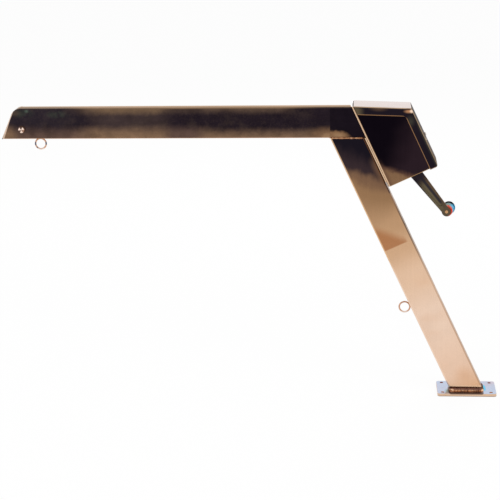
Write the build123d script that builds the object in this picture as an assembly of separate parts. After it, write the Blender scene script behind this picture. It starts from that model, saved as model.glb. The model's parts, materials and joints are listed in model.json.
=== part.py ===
from build123d import *
import os
from math import acos, cos, degrees, pi, radians, sin, tan

# A stainless deck davit: a leaning post on a bolted foot, a level arm with a rope sheave
# in its nose, and a hand winch in a folded housing behind the elbow.
# Millimetres, +Z up. The origin is the centre of the underside of the base plate.
# The arm points to -X, and the crank is on the +Y side.

# Clearances
run_fit = 0.05
press_fit = 0.02
bolt_fit = 0.2
side_play = 0.3

# Base plate
plate_length = 195.0
plate_width = 120.0
plate_thick = 10.0
plate_corner = 9.0
base_edge_x = 17.5
base_edge_y = 15.0
base_hole = 11.0

# Post and arm are cut from one size of rectangular tube
tube_depth = 100.0
tube_width = 50.0
tube_wall = 3.0
tube_corner = 6.0
post_lean = 24.8
arm_height = 970.0
arm_reach = 1525.0

# Nose of the arm
nose_lean = 24.0
nose_bend = 30.0
nose_plate_thick = 3.0
nose_edge_round = 1.2
slot_side = 10.0
slot_back = 92.0
slot_round = 12.0

# Nose sheave on its bolt
rope_diameter = 6.0
rope_room = 0.4
sheave_back = 68.5
sheave_low = 2.0
sheave_radius = 30.0
sheave_width = 16.0
sheave_recess = 3.0
sheave_rim = 12.2
sheave_hub_wall = 4.0
groove_flank = 20.0
groove_sink = 7.5
groove_lip = 1.2
nose_bolt = 12.0
nose_head_flats = 19.0
nose_head_height = 7.5
nose_nut_height = 10.0
nose_washer_lip = 6.0
nose_washer_thick = 2.0
spacer_wall = 4.0

# Ring eyes welded under the arm and on the face of the post
eye_outside = 40.0
eye_wire = 5.0
arm_eye_back = 123.5
post_eye_up = 368.0
eye_bead = 4.0
eye_bead_length = 16.0
eye_bead_round = 3.2
eye_bead_slope = 1.8

# Weld beads
base_bead = 6.0
base_bead_slope = 42.0
elbow_bead = 1.6
elbow_bead_height = 6.0

# Winch housing: a folded box on a pad behind the post, and an L-shaped cover over it.
# Its heights are given along the slope, below or above the elbow, where the arm's
# underside meets the rear face of the post.
pad_thick = 6.0
pad_drop = 161.4
box_sheet = 2.5
box_bend = 8.0
box_width = 104.0
box_drop = 174.4
cover_front = 14.5
cover_over_arm = 9.1
cover_fall = 2.2
cover_sheet = 1.5
cover_skirt = 27.5
cover_drop = 177.8
cover_bend = 4.5
cover_fold = 2.5
cover_low_round = 8.0
cover_inner_round = 9.0
cover_front_round = 5.0
cover_side_gap = 0.5
cover_top_gap = 0.5
cover_rear_gap = 0.2
window_rise = 10.6
window_tall = 88.0
window_side = 5.0
tab_drop = 97.4
tab_tall = 30.0
tab_reach = 15.0
cover_screw = 6.0
cover_screw_length = 12.0
cover_screw_head = 5.5
cover_screw_head_height = 3.3
cover_screw_round = 2.3
cover_screw_socket = 2.0
cover_screw_socket_depth = 1.8

# Winch frame, a folded U with its two cheeks either side of the drum
frame_sheet = 4.0
frame_bend = 8.0
frame_room = 11.5
frame_drop = 163.4
frame_base_drop = 7.4
cheek_rim = 24.0
pawl_rim = 13.0
roller_rim = 15.0
winch_bolt = 8.0
winch_bolt_edge = 12.5
winch_bolt_drops = (151.4, 22.4)
winch_head_flats = 13.0
winch_head_height = 5.3
winch_nut_height = 6.5
hex_crown = 0.12
bolt_spare = 2.5
pin_spare = 1.5

# Gears: the pinion on the crank shaft drives the big gear on the drum
gear_module = 3.0
drum_teeth = 40
pinion_teeth = 12
pressure_angle = 25.0
tooth_tip = 0.9
tooth_root = 1.2
tooth_slack = 0.30
gear_width = 8.0
pinion_spare = 0.75
gear_room = 8.8
rear_room = 31.0
web_holes = 6
web_hole_radius = 8.0

# Drive shaft and its bushes
drive_drop = 144.4
shaft_radius = 8.0
shaft_spare = 2.0
shaft_flats = 12.0
stud_step = 1.0
bush_wall = 3.0
bush_lip = 3.0
bush_flange = 1.7
circlip_thick = 1.2
circlip_lip = 3.0
circlip_groove = 0.6
circlip_groove_fit = 0.05
circlip_gap = 3.5
wall_bush_fit = 0.15
wall_bush_wall = 4.8
wall_bush_proud = 0.6
wall_bush_flange_thick = 1.8

# Drum
drum_core_radius = 25.0
drum_flange = 2.5
drum_flange_inset = 1.4
drum_near_room = 7.0
drum_far_room = 2.5
drum_hub_wall = 6.0
drum_bush_length = 14.0
drum_bush_lip = 4.0
axle_radius = 6.0
axle_head_flats = 19.0
axle_head_height = 7.5
axle_nut_height = 6.0
axle_washer_lip = 6.0
axle_washer_thick = 2.0
clamp_length = 24.0
clamp_height = 12.0
clamp_thick = 3.0
clamp_round = 2.0
clamp_screw = 4.0
clamp_screw_edge = 5.0
clamp_screw_lip = 1.6
clamp_screw_head = 1.8

# Guide roller where the rope turns into the arm
roller_depth = 28.0
roller_rise = 12.6
roller_radius = 14.0
roller_waist = 11.0
roller_pin_radius = 5.0
pin_head_lip = 3.0
pin_head_thick = 3.0
pin_head_chamfer = 0.6

# Ratchet wheel and gravity pawl outside the far cheek
ratchet_teeth = 16
ratchet_radius = 22.0
ratchet_tooth = 4.0
ratchet_width = 6.0
pawl_pivot_depth = 40.0
pawl_pivot_up = 26.0
pawl_boss = 8.5
pawl_width = 5.0
pawl_tip_gap = 0.8
pawl_tip_height = 6.5
pawl_tip_lead = 1.5
pawl_tip_undercut = 1.0
pawl_tail = 40.0
pawl_tail_fall = 29.0
pawl_tail_width = 7.0
pawl_tab = 20.0
pawl_tab_thick = 3.0
pawl_pin_radius = 4.0

# Crank and its turning grip
crank_length = 216.0
crank_rest = 13.4
crank_gap = 6.0
crank_thick = 9.0
crank_hub_radius = 22.3
crank_hub_thick = 13.0
crank_hub_step = 1.0
crank_end_radius = 12.4
groove_depth = 2.5
groove_start = 46.0
groove_stop = 33.0
groove_start_radius = 11.5
groove_stop_radius = 6.5
boss_radius = 14.0
boss_thick = 13.0
grip_splay = 10.0
flat_short = 0.5
stud_short = 1.0
crank_washer_lip = 6.0
crank_washer_thick = 2.0
crank_nut_flats = 17.0
crank_nut_height = 9.0
crank_nut_dome = 6.0
crank_nut_dome_radius = 7.3
grip_pin_radius = 5.0
grip_pin_head_lip = 0.6
grip_pin_head = 2.0
grip_pin_round = 1.6
grip_washer_radius = 17.0
grip_washer_thick = 2.0
grip_length = 104.0
grip_near_radius = 16.5
grip_middle_radius = 19.0
grip_far_radius = 18.5
grip_near_round = 2.5
grip_far_round = 4.0
grip_far_fall = 0.5
grip_swell = 0.45
grip_cap_radius = 21.5
grip_cap_length = 13.0
grip_cap_round = 4.0
grip_cap_edge = 1.2
grip_cap_room = 1.6

# Places and sizes that follow from those above
base_pitch_x = plate_length - 2 * base_edge_x
base_pitch_y = plate_width - 2 * base_edge_y
arm_under = arm_height - tube_depth
half_tube = tube_width / 2
post_slice = tube_depth / cos(radians(post_lean))
post_tall = (arm_under - plate_thick) / cos(radians(post_lean))
far_away = 2 * arm_reach
slot_width = tube_width - 2 * slot_side
sheave_up = sheave_radius + sheave_low
sheave_bush_radius = nose_bolt / 2 + bush_wall
half_box = box_width / 2
frame_width = box_width - 2 * box_sheet - 2 * frame_room
half_frame = frame_width / 2
cheek_inside = half_frame - frame_sheet
wall_front = pad_thick
wall_inside = wall_front + box_sheet
frame_inside = wall_inside + frame_sheet
pad_low = post_tall - pad_drop
box_low = post_tall - box_drop
cover_low = post_tall - cover_drop
window_low = post_tall + window_rise
tab_low = post_tall - tab_drop
frame_low = post_tall - frame_drop
frame_base_high = post_tall - frame_base_drop
drum_pitch_radius = gear_module * drum_teeth / 2
drum_tip_radius = drum_pitch_radius + tooth_tip * gear_module
drum_root_radius = drum_pitch_radius - tooth_root * gear_module
drive_depth = frame_inside + gear_room + drum_tip_radius
drive_up = post_tall - drive_drop
drum_up = drive_up + gear_module * (drum_teeth + pinion_teeth) / 2
roller_up = post_tall + roller_rise
cover_rear = drive_depth + drum_tip_radius + rear_room
gear_near = cheek_inside - drum_far_room - gear_width
drum_far_flange = gear_near - drum_flange
drum_near_flange = cheek_inside - drum_near_room - drum_flange
drum_flange_radius = drum_root_radius - drum_flange_inset
drum_bush_radius = axle_radius + bush_wall
drum_hub_radius = drum_bush_radius + drum_hub_wall
clamp_radius = (drum_core_radius + drum_flange_radius) / 2 + 1.0
shaft_bush_radius = shaft_radius + bush_wall
wall_bush_radius = shaft_radius + wall_bush_fit + wall_bush_wall
clip_near = half_frame + side_play
stud_radius = shaft_flats / 2 - stud_step
crank_near = half_box + crank_gap
hub_near = crank_near - crank_hub_step
hub_far = hub_near + crank_hub_thick
grip_start = boss_thick + grip_washer_thick + 2 * side_play
grip_end = grip_start + grip_length
grip_pin_end = grip_end + 2 * side_play + circlip_thick + pin_spare

# The housing and the winch are drawn with X as the depth behind the post's rear face,
# Z as the height up the slope of the post, and then leaned back with the post.
lean = Pos(post_slice / 2, 0, plate_thick) * Rot(0, -post_lean, 0)


def rod(radius, y_from, y_to, x=0.0, z=0.0):
    """A round bar along Y."""
    return Pos(x, y_from, z) * Rot(-90, 0, 0) * standing(radius, y_to - y_from)


def side_prism(sketch, y_from, y_to):
    """A shape drawn in X and Z, given its thickness along Y."""
    plane = Plane(origin=(0, y_to, 0), x_dir=(1, 0, 0), z_dir=(0, -1, 0))
    return extrude(plane * sketch, amount=y_to - y_from, dir=(0, -1, 0))


def along_y(part, x, y, z, outward=1):
    """Turn a part drawn along +Z so that it points along +Y or -Y."""
    return Pos(x, y, z) * Rot(-90 * outward, 0, 0) * part


def standing(radius, height):
    """A cylinder that stands on Z = 0."""
    return Cylinder(radius, height, align=(Align.CENTER, Align.CENTER, Align.MIN))


def hex_block(flats, height):
    """A hexagon with its far end turned to a slight crown."""
    corner = flats / 2 / cos(radians(30))
    block = extrude(RegularPolygon(corner, 6), amount=height)
    turned = standing(corner, height)
    turned = chamfer(turned.edges().sort_by(Axis.Z)[-1], min(corner * hex_crown, height / 3))
    return block & turned


def hex_nut(flats, height, thread_radius):
    """A nut, bored to the shank that it holds."""
    return hex_block(flats, height) - Cylinder(thread_radius + press_fit, 4 * height)


def ring(outside, inside, height):
    """A washer or bush standing on Z = 0."""
    return extrude(Circle(outside) - Circle(inside), amount=height)


def flanged_bush(bore, outside, length, flange_radius):
    """A bush with a flange at Z = 0 and its sleeve above."""
    sleeve = ring(outside, bore, bush_flange + length)
    return sleeve + ring(flange_radius, bore, bush_flange)


def pin_head(radius):
    """The flat round head of a pin, standing on Z = 0."""
    head = standing(radius, pin_head_thick)
    return chamfer(head.edges().sort_by(Axis.Z)[-1], pin_head_chamfer)


def clip_groove(radius, y_from):
    """The ring of metal that is cut away for a circlip."""
    groove = rod(2 * radius, y_from - circlip_groove_fit, y_from + circlip_thick + circlip_groove_fit)
    return groove - rod(radius - circlip_groove, y_from - circlip_thick, y_from + 2 * circlip_thick)


def circlip(radius, y_from):
    """An open spring ring in the groove of a shaft along Y."""
    clip = ring(radius + circlip_lip, radius - circlip_groove + press_fit, circlip_thick)
    reach = 2 * (radius + circlip_lip)
    clip -= Box(reach, circlip_gap, 4 * circlip_thick, align=(Align.MIN, Align.CENTER, Align.CENTER))
    return along_y(clip, 0, y_from, 0)


def involute_gear(teeth, width, bore, turn=0.0):
    """A spur gear standing on Z = 0, with its first tooth turned from the X axis."""
    pitch_radius = gear_module * teeth / 2
    base_radius = pitch_radius * cos(radians(pressure_angle))
    tip_radius = pitch_radius + tooth_tip * gear_module
    root_radius = pitch_radius - tooth_root * gear_module
    start_radius = max(base_radius, root_radius)
    half_tooth = pi / (2 * teeth) - tooth_slack / (2 * pitch_radius)

    def roll(radius):
        angle = acos(min(1.0, base_radius / radius))
        return tan(angle) - angle

    half_base = half_tooth + roll(pitch_radius)
    half_foot = half_base - roll(start_radius)
    steps = [start_radius + (tip_radius - start_radius) * k / 4 for k in range(5)]
    edges = []
    for tooth in range(teeth):
        middle = radians(turn) + 2 * pi * tooth / teeth
        following = middle + 2 * pi / teeth

        def at(radius, angle):
            return (radius * cos(angle), radius * sin(angle))

        rising = [at(r, middle - half_base + roll(r)) for r in steps]
        falling = [at(r, middle + half_base - roll(r)) for r in reversed(steps)]
        root_in = at(root_radius, middle - half_foot)
        root_out = at(root_radius, middle + half_foot)
        root_next = at(root_radius, following - half_foot)
        if root_radius < start_radius:
            edges.append(Line(root_in, rising[0]))
        edges.append(Spline(*rising))
        edges.append(ThreePointArc(rising[-1], at(tip_radius, middle), falling[0]))
        edges.append(Spline(*falling))
        if root_radius < start_radius:
            edges.append(Line(falling[-1], root_out))
        gap_middle = (middle + following) / 2
        edges.append(ThreePointArc(root_out, at(root_radius, gap_middle), root_next))
    disc = Face(Wire(edges))
    return extrude(Sketch() + disc - Circle(bore), amount=width)


def save(name, *solids):
    """Write one node; several solids are kept as one group."""
    group = solids[0] if len(solids) == 1 else Compound(list(solids))
    group.label = name
    export_step(group, "parts/" + name + ".step")


# Base plate

def make_base_plate():
    plate = extrude(RectangleRounded(plate_length, plate_width, plate_corner), amount=plate_thick)
    holes = GridLocations(base_pitch_x, base_pitch_y, 2, 2)
    plate -= extrude(Sketch() + holes * Circle(base_hole / 2), amount=plate_thick)
    return plate


# Post

def post_section(grow=0.0):
    return RectangleRounded(tube_depth + 2 * grow, tube_width + 2 * grow, tube_corner + grow)


def post_bar(sketch):
    """A bar of the given section that leans with the post and runs past both ends."""
    spare = tube_depth
    return lean * Pos(-tube_depth / 2, 0, -spare) * extrude(sketch, amount=post_tall + 2 * spare)


def level_slab(z_from, z_to):
    return Pos(0, 0, (z_from + z_to) / 2) * Box(far_away * 2, far_away, z_to - z_from)


def winch_bolt_places():
    places = []
    for drop in winch_bolt_drops:
        for side in (-1, 1):
            places.append((side * (half_tube - winch_bolt_edge), post_tall - drop))
    return places


def cross_holes(radius, x_from, x_to):
    """Round holes along the depth axis at the four winch bolts."""
    holes = []
    for y, z in winch_bolt_places():
        holes.append(Pos(x_from, y, z) * Rot(0, 90, 0) * standing(radius, x_to - x_from))
    return holes


def make_post_tube():
    bore = offset(post_section(), -tube_wall)
    post = post_bar(post_section() - bore) & level_slab(plate_thick, arm_under)
    for hole in cross_holes(winch_bolt / 2 + bolt_fit, -2 * tube_wall, pad_thick):
        post -= lean * hole
    return post


# Arm and its nose

def nose_line(inset):
    """The side outline of the nose, set in from its outer face: foot, bend start and top."""
    slope = radians(nose_lean)
    along = (sin(slope), cos(slope))
    inward = (cos(slope), -sin(slope))
    radius = nose_bend - inset
    turn = radius * tan((pi / 2 - slope) / 2)
    top_z = arm_height - inset
    foot_x = -arm_reach + inset / cos(slope)
    top_x = foot_x + (top_z - arm_under) * tan(slope)
    start = (top_x - turn * along[0], top_z - turn * along[1])
    end = (top_x + turn, top_z)
    centre = (start[0] + radius * inward[0], start[1] + radius * inward[1])
    middle_angle = (pi / 2 + (pi - slope)) / 2
    middle = (centre[0] + radius * cos(middle_angle), centre[1] + radius * sin(middle_angle))
    return (foot_x, arm_under), start, middle, end


def nose_outline(inset):
    """Closed side outline of the arm's nose, from its foot to where the bend meets the top."""
    foot, start, middle, end = nose_line(inset)
    heel = (end[0], arm_under)
    edges = [
        Line(foot, start),
        ThreePointArc(start, middle, end),
        Line(end, heel),
        Line(heel, foot),
    ]
    return Sketch() + Face(Wire(edges))


def arm_rear_cut():
    """Everything behind the plane that the arm's rear end is cut on."""
    block = Box(far_away, far_away, far_away, align=(Align.MIN, Align.CENTER, Align.CENTER))
    return lean * Pos(pad_thick, 0, drum_up) * block


def sheave_place():
    return (-arm_reach + sheave_back, arm_under + sheave_up)


def make_arm_tube():
    _, _, _, bend_end = nose_line(0.0)
    section = RectangleRounded(tube_width, tube_depth, tube_corner)
    section -= offset(section, -tube_wall)
    plane = Plane(origin=(-arm_reach, 0, arm_under + tube_depth / 2), x_dir=(0, 1, 0), z_dir=(1, 0, 0))
    arm = extrude(plane * section, amount=arm_reach)
    arm -= arm_rear_cut()
    # the sides run on to the inside of the nose plate, and the top wall stops at its bend
    nose_room = nose_outline(nose_plate_thick)
    front = Pos(-far_away / 2 + bend_end[0], 0, arm_height) * Box(far_away, tube_width * 2, tube_depth * 4)
    arm = (arm - front) + (arm & side_prism(nose_room, -half_tube, half_tube))
    slot = Pos(-arm_reach, 0, arm_under) * Box(2 * slot_back, slot_width, 2 * tube_wall)
    slot = fillet(slot.edges().filter_by(Axis.Z).sort_by(Axis.X)[-2:], min(slot_round, slot_width / 3))
    arm -= slot
    x, z = sheave_place()
    arm -= rod(nose_bolt / 2 + bolt_fit, -tube_width, tube_width, x, z)
    return arm


def make_nose_plate():
    """A strip folded over the nose, flush with the top of the arm."""
    outline = nose_outline(0.0) - nose_outline(nose_plate_thick)
    plate = side_prism(outline, -half_tube, half_tube)
    return fillet([edge for edge in plate.edges() if is_outer_nose_edge(edge)], nose_edge_round)


def is_outer_nose_edge(edge):
    """True for a long edge that lies on the outer face of the nose."""
    foot, _, middle, _ = nose_line(0.0)
    nearly = nose_plate_thick / 6
    point = edge @ 0.5
    on_line = abs((point.X - foot[0]) - (point.Z - foot[1]) * tan(radians(nose_lean))) < nearly
    near_bend = (Vector(point.X, 0, point.Z) - Vector(middle[0], 0, middle[1])).length < nearly
    return on_line or near_bend


# Nose sheave and its bolt

def make_sheave():
    """Round groove for the rope, thin web, hub as wide as the rim."""
    half = sheave_width / 2
    wheel = rod(sheave_radius, -half, half) - rope_groove(half)
    recess = rod(sheave_radius - sheave_rim, -half, half)
    recess -= rod(sheave_bush_radius + sheave_hub_wall, -half, half)
    recess -= rod(sheave_radius, -half + sheave_recess, half - sheave_recess)
    return wheel - recess - rod(sheave_bush_radius + press_fit, -half, half)


def rope_groove(half):
    """The rope groove as a turned shape: a round floor with flanks that open outwards."""
    groove = rope_diameter / 2 + rope_room
    floor_radius = sheave_radius - groove_sink
    centre = floor_radius + groove
    flank = radians(groove_flank)
    touch = (centre - groove * sin(flank), groove * cos(flank))
    reach = sheave_radius + groove
    mouth = min(touch[1] + (reach - touch[0]) * tan(flank), half - groove_lip)
    edges = [
        ThreePointArc((touch[0], -touch[1]), (floor_radius, 0), (touch[0], touch[1])),
        Line((touch[0], touch[1]), (reach, mouth)),
        Line((reach, mouth), (reach, -mouth)),
        Line((reach, -mouth), (touch[0], -touch[1])),
    ]
    return revolve(Sketch() + Face(Wire(edges)), axis=Axis.Y)


def make_sheave_bush():
    half = sheave_width / 2
    bore = nose_bolt / 2 + run_fit
    return rod(sheave_bush_radius, -half - side_play, half + side_play) - rod(bore, -2 * half, 2 * half)


def make_nose_bolt():
    grip = half_tube + nose_washer_thick
    head = along_y(hex_block(nose_head_flats, nose_head_height), 0, -grip, 0, -1)
    return head + rod(nose_bolt / 2, -grip, grip + nose_nut_height + bolt_spare)


def make_nose_nut():
    grip = half_tube + nose_washer_thick
    return along_y(hex_nut(nose_head_flats, nose_nut_height, nose_bolt / 2), 0, grip, 0)


def make_nose_washers():
    washers = []
    for y_from in (-half_tube - nose_washer_thick, half_tube):
        washer = rod(nose_bolt / 2 + nose_washer_lip, y_from, y_from + nose_washer_thick)
        washers.append(washer - rod(nose_bolt / 2 + bolt_fit, -tube_width, tube_width))
    return washers


def make_nose_spacers():
    inner = half_tube - tube_wall
    start = sheave_width / 2 + 2 * side_play
    spacers = []
    for side in (-1, 1):
        y_from, y_to = sorted((side * start, side * inner))
        spacer = rod(nose_bolt / 2 + spacer_wall, y_from, y_to)
        spacers.append(spacer - rod(nose_bolt / 2 + bolt_fit, -tube_width, tube_width))
    return spacers


# Ring eyes

def make_ring():
    wire = eye_wire / 2
    return Rot(90, 0, 0) * Torus(eye_outside / 2 - wire, wire)


def eye_bead_block():
    """A short weld bead each side of where the ring touches the tube, tube face at Z = 0."""
    block = Box(
        eye_bead_length,
        2 * eye_bead + eye_wire,
        eye_bead,
        align=(Align.CENTER, Align.CENTER, Align.MAX),
    )
    block = fillet(block.edges().filter_by(Axis.Z), eye_bead_round)
    return chamfer(block.edges().sort_by(Axis.Z)[:8], eye_bead_slope)


def arm_eye_frame():
    return Pos(-arm_reach + arm_eye_back, 0, arm_under)


def post_eye_frame():
    return lean * Pos(-tube_depth, 0, post_eye_up) * Rot(0, 90, 0)


def make_eye(frame):
    ring_part = frame * Pos(0, 0, -eye_outside / 2) * make_ring()
    bead = frame * eye_bead_block()
    return ring_part, bead - ring_part


# Weld beads at the foot and the elbow

def make_base_weld():
    foot = Rectangle(post_slice, tube_width)
    foot = fillet(foot.vertices(), tube_corner)
    wide = offset(foot, base_bead)
    bead = Pos(0, 0, plate_thick) * extrude(wide, amount=base_bead, taper=base_bead_slope)
    return bead - post_bar(post_section())


def make_elbow_weld():
    centre_x = -(arm_under - plate_thick) * tan(radians(post_lean))
    beads = []
    length = post_slice - 2 * tube_corner
    for side in (-1, 1):
        bar = Cylinder(elbow_bead_height / 2, length, rotation=(0, 90, 0))
        bar = Pos(centre_x, side * half_tube, arm_under) * bar
        shell = Pos(centre_x, side * (half_tube + elbow_bead / 2), arm_under)
        shell = shell * Box(post_slice * 2, elbow_bead, elbow_bead_height * 2)
        beads.append(bar & shell)
    front_x = centre_x - post_slice / 2
    corner = Polygon((0, 0), (-base_bead, 0), (0, -base_bead), align=None)
    front = Pos(front_x, 0, arm_under) * side_prism(corner, -half_tube + tube_corner, half_tube - tube_corner)
    beads.append(front - post_bar(post_section()))
    return beads


# Housing

def make_pad():
    pad = Pos(0, 0, pad_low) * Box(
        pad_thick,
        tube_width,
        post_tall - pad_low + tube_depth,
        align=(Align.MIN, Align.CENTER, Align.MIN),
    )
    for hole in cross_holes(winch_bolt / 2 + bolt_fit, -1.0, pad_thick + 1.0):
        pad -= hole
    return (lean * pad) & level_slab(plate_thick, arm_under)


def top_angle():
    return radians(post_lean + cover_fall)


def cover_top(depth, drop=0.0):
    """Height of the cover's top at a depth, set down square to the top by drop."""
    lean_angle = radians(post_lean)
    level = arm_height + cover_over_arm - plate_thick
    front_top = (level - cover_front * sin(lean_angle)) / cos(lean_angle)
    return front_top - (depth - cover_front) * tan(top_angle()) - drop / cos(top_angle())


def make_housing_box():
    depth = cover_rear - cover_sheet - cover_rear_gap - wall_front
    outer = Pos(wall_front + depth / 2, 0) * Rectangle(depth, box_width)
    outer = fillet(outer.vertices().sort_by(Axis.X)[:2], box_bend)
    inner = Pos(wall_inside + depth / 2, 0) * Rectangle(depth, box_width - 2 * box_sheet)
    inner = fillet(inner.vertices().sort_by(Axis.X)[:2], box_bend - box_sheet)
    tall = cover_top(0) - box_low
    box = Pos(0, 0, box_low) * extrude(outer - inner, amount=tall)
    # tabs folded in at the rear edge carry the cover screws
    rear = wall_front + depth
    for side in (-1, 1):
        tab = Pos(rear - box_sheet, side * (half_box - box_sheet), tab_low) * Box(
            box_sheet,
            tab_reach,
            tab_tall,
            align=(Align.MIN, Align.MAX if side > 0 else Align.MIN, Align.MIN),
        )
        box += tab
    drop = cover_sheet + cover_top_gap
    keep = Polygon(
        (0, box_low),
        (cover_rear, box_low),
        (cover_rear, cover_top(cover_rear, drop)),
        (0, cover_top(0, drop)),
        align=None,
    )
    box = box & side_prism(keep, -box_width, box_width)
    window = Pos(wall_front, 0, window_low) * Box(
        3 * box_sheet,
        tube_width - 2 * window_side,
        window_tall,
        align=(Align.CENTER, Align.CENTER, Align.MIN),
    )
    box -= fillet(window.edges().filter_by(Axis.X), tube_corner)
    for hole in cross_holes(winch_bolt / 2 + bolt_fit, wall_front - 1, wall_inside + 1):
        box -= hole
    box -= rod(wall_bush_radius + run_fit, half_box - 2 * box_sheet, half_box + 1, drive_depth, drive_up)
    for hole in screw_holes(cover_screw / 2 + press_fit):
        box -= hole
    return lean * box


def screw_places():
    places = []
    for side in (-1, 1):
        y = side * (half_box - box_sheet - tab_reach / 2)
        places.append((y, tab_low + tab_tall / 2))
    return places


def screw_holes(radius):
    holes = []
    for y, z in screw_places():
        bar = Cylinder(radius, 8 * cover_sheet)
        holes.append(Pos(cover_rear, y, z) * Rot(0, 90, 0) * bar)
    return holes


def make_housing_cover():
    inner_depth = cover_rear - cover_skirt
    skirt = Polygon(
        (cover_front, cover_top(cover_front)),
        (cover_rear, cover_top(cover_rear)),
        (cover_rear, cover_low),
        (inner_depth, cover_low),
        (inner_depth, cover_top(inner_depth, cover_skirt)),
        (cover_front, cover_top(cover_front, cover_skirt)),
        align=None,
    )
    corners = {
        (cover_rear, cover_top(cover_rear)): cover_bend,
        (cover_rear, cover_low): cover_low_round,
        (inner_depth, cover_top(inner_depth, cover_skirt)): cover_inner_round,
        (cover_front, cover_top(cover_front, cover_skirt)): cover_front_round,
    }
    for (x, z), radius in corners.items():
        corner = skirt.vertices().sort_by_distance((x, z, 0))[0]
        skirt = fillet(corner, radius)
    outside = half_box + cover_side_gap + cover_sheet
    cover = side_prism(skirt, -outside, outside)
    top_fold = Box(far_away, 2 * outside, far_away, align=(Align.CENTER, Align.CENTER, Align.MAX))
    top_fold = fillet(top_fold.edges().filter_by(Axis.X).sort_by(Axis.Z)[-2:], cover_fold)
    top_fold = Pos(cover_front, 0, cover_top(cover_front)) * Rot(0, degrees(top_angle()), 0) * top_fold
    rear_fold = Box(far_away, 2 * outside, far_away, align=(Align.MAX, Align.CENTER, Align.CENTER))
    rear_fold = fillet(rear_fold.edges().filter_by(Axis.Z).sort_by(Axis.X)[-2:], cover_fold)
    cover = cover & top_fold & (Pos(cover_rear, 0, 0) * rear_fold)
    rear_inside = cover_rear - cover_sheet
    hollow = Polygon(
        (cover_front - 1, cover_top(cover_front - 1, cover_sheet)),
        (rear_inside, cover_top(rear_inside, cover_sheet)),
        (rear_inside, cover_low - 1),
        (cover_front - 1, cover_low - 1),
        align=None,
    )
    corner = hollow.vertices().sort_by_distance((rear_inside, cover_top(rear_inside, cover_sheet), 0))[0]
    hollow = fillet(corner, cover_bend - cover_sheet)
    cover -= side_prism(hollow, -outside + cover_sheet, outside - cover_sheet)
    for hole in screw_holes(cover_screw / 2 + bolt_fit):
        cover -= hole
    return lean * cover


def make_cover_screws():
    screws = []
    for y, z in screw_places():
        head = standing(cover_screw_head, cover_screw_head_height)
        head = fillet(head.edges().sort_by(Axis.Z)[-1], cover_screw_round)
        socket = extrude(RegularPolygon(cover_screw_socket, 6), amount=cover_screw_head_height)
        head -= Pos(0, 0, cover_screw_head_height - cover_screw_socket_depth) * socket
        shank = Cylinder(cover_screw / 2, cover_screw_length, align=(Align.CENTER, Align.CENTER, Align.MAX))
        screws.append(lean * Pos(cover_rear, y, z) * Rot(0, 90, 0) * (head + shank))
    return screws


# Winch frame and its bolts

def make_winch_frame():
    cheek_depth = drive_depth + cheek_rim
    lobe_depth = drive_depth + pawl_pivot_depth + pawl_rim
    lobe_high = drive_up + pawl_pivot_up + pawl_rim
    ear_depth = roller_depth + roller_rim
    ear_high = roller_up + roller_rim
    outer = Pos(wall_inside + lobe_depth / 2, 0) * Rectangle(lobe_depth, frame_width)
    outer = fillet(outer.vertices().sort_by(Axis.X)[:2], frame_bend)
    inner = Pos(frame_inside + lobe_depth / 2, 0) * Rectangle(lobe_depth, 2 * cheek_inside)
    inner = fillet(inner.vertices().sort_by(Axis.X)[:2], frame_bend - frame_sheet)
    channel = Pos(0, 0, frame_low) * extrude(outer - inner, amount=ear_high - frame_low)
    cheek = Polygon(
        (wall_inside, frame_low),
        (lobe_depth, frame_low),
        (lobe_depth, lobe_high),
        (cheek_depth, lobe_high + lobe_depth - cheek_depth),
        (cheek_depth, drum_up + cheek_rim),
        (ear_depth, roller_up - roller_rim),
        (ear_depth, ear_high),
        (wall_inside, ear_high),
        align=None,
    )
    rounded = [v for v in cheek.vertices() if v.X > wall_inside + 1]
    cheek = fillet(rounded, frame_bend)
    frame = channel & side_prism(cheek, -half_frame, half_frame)
    # the folded base stops below the rope window
    gap = Pos(wall_inside - 1, 0, frame_base_high) * Box(
        frame_bend + 2,
        2 * cheek_inside,
        far_away,
        align=(Align.MIN, Align.CENTER, Align.MIN),
    )
    frame -= gap
    for hole in cross_holes(winch_bolt / 2 + bolt_fit, wall_inside - 1, frame_inside + 1):
        frame -= hole
    frame -= rod(axle_radius + press_fit, -frame_width, frame_width, drive_depth, drum_up)
    frame -= rod(shaft_bush_radius + press_fit, -frame_width, frame_width, drive_depth, drive_up)
    frame -= rod(roller_pin_radius + press_fit, -frame_width, frame_width, roller_depth, roller_up)
    pawl_x = drive_depth + pawl_pivot_depth
    pawl_z = drive_up + pawl_pivot_up
    frame -= rod(pawl_pin_radius + press_fit, 0, frame_width, pawl_x, pawl_z)
    return lean * frame


def make_winch_bolts():
    bolts = []
    reach = frame_inside + tube_wall + winch_nut_height + bolt_spare
    for y, z in winch_bolt_places():
        head = hex_block(winch_head_flats, winch_head_height)
        shank = Cylinder(winch_bolt / 2, reach, align=(Align.CENTER, Align.CENTER, Align.MAX))
        bolts.append(lean * Pos(frame_inside, y, z) * Rot(0, 90, 0) * (head + shank))
    return bolts


def make_weld_nuts():
    nuts = []
    for y, z in winch_bolt_places():
        nut = hex_nut(winch_head_flats, winch_nut_height, winch_bolt / 2)
        nuts.append(lean * Pos(-tube_wall, y, z) * Rot(0, -90, 0) * nut)
    return nuts


# Drum, its gear and its axle, drawn about the drum's axis

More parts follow.
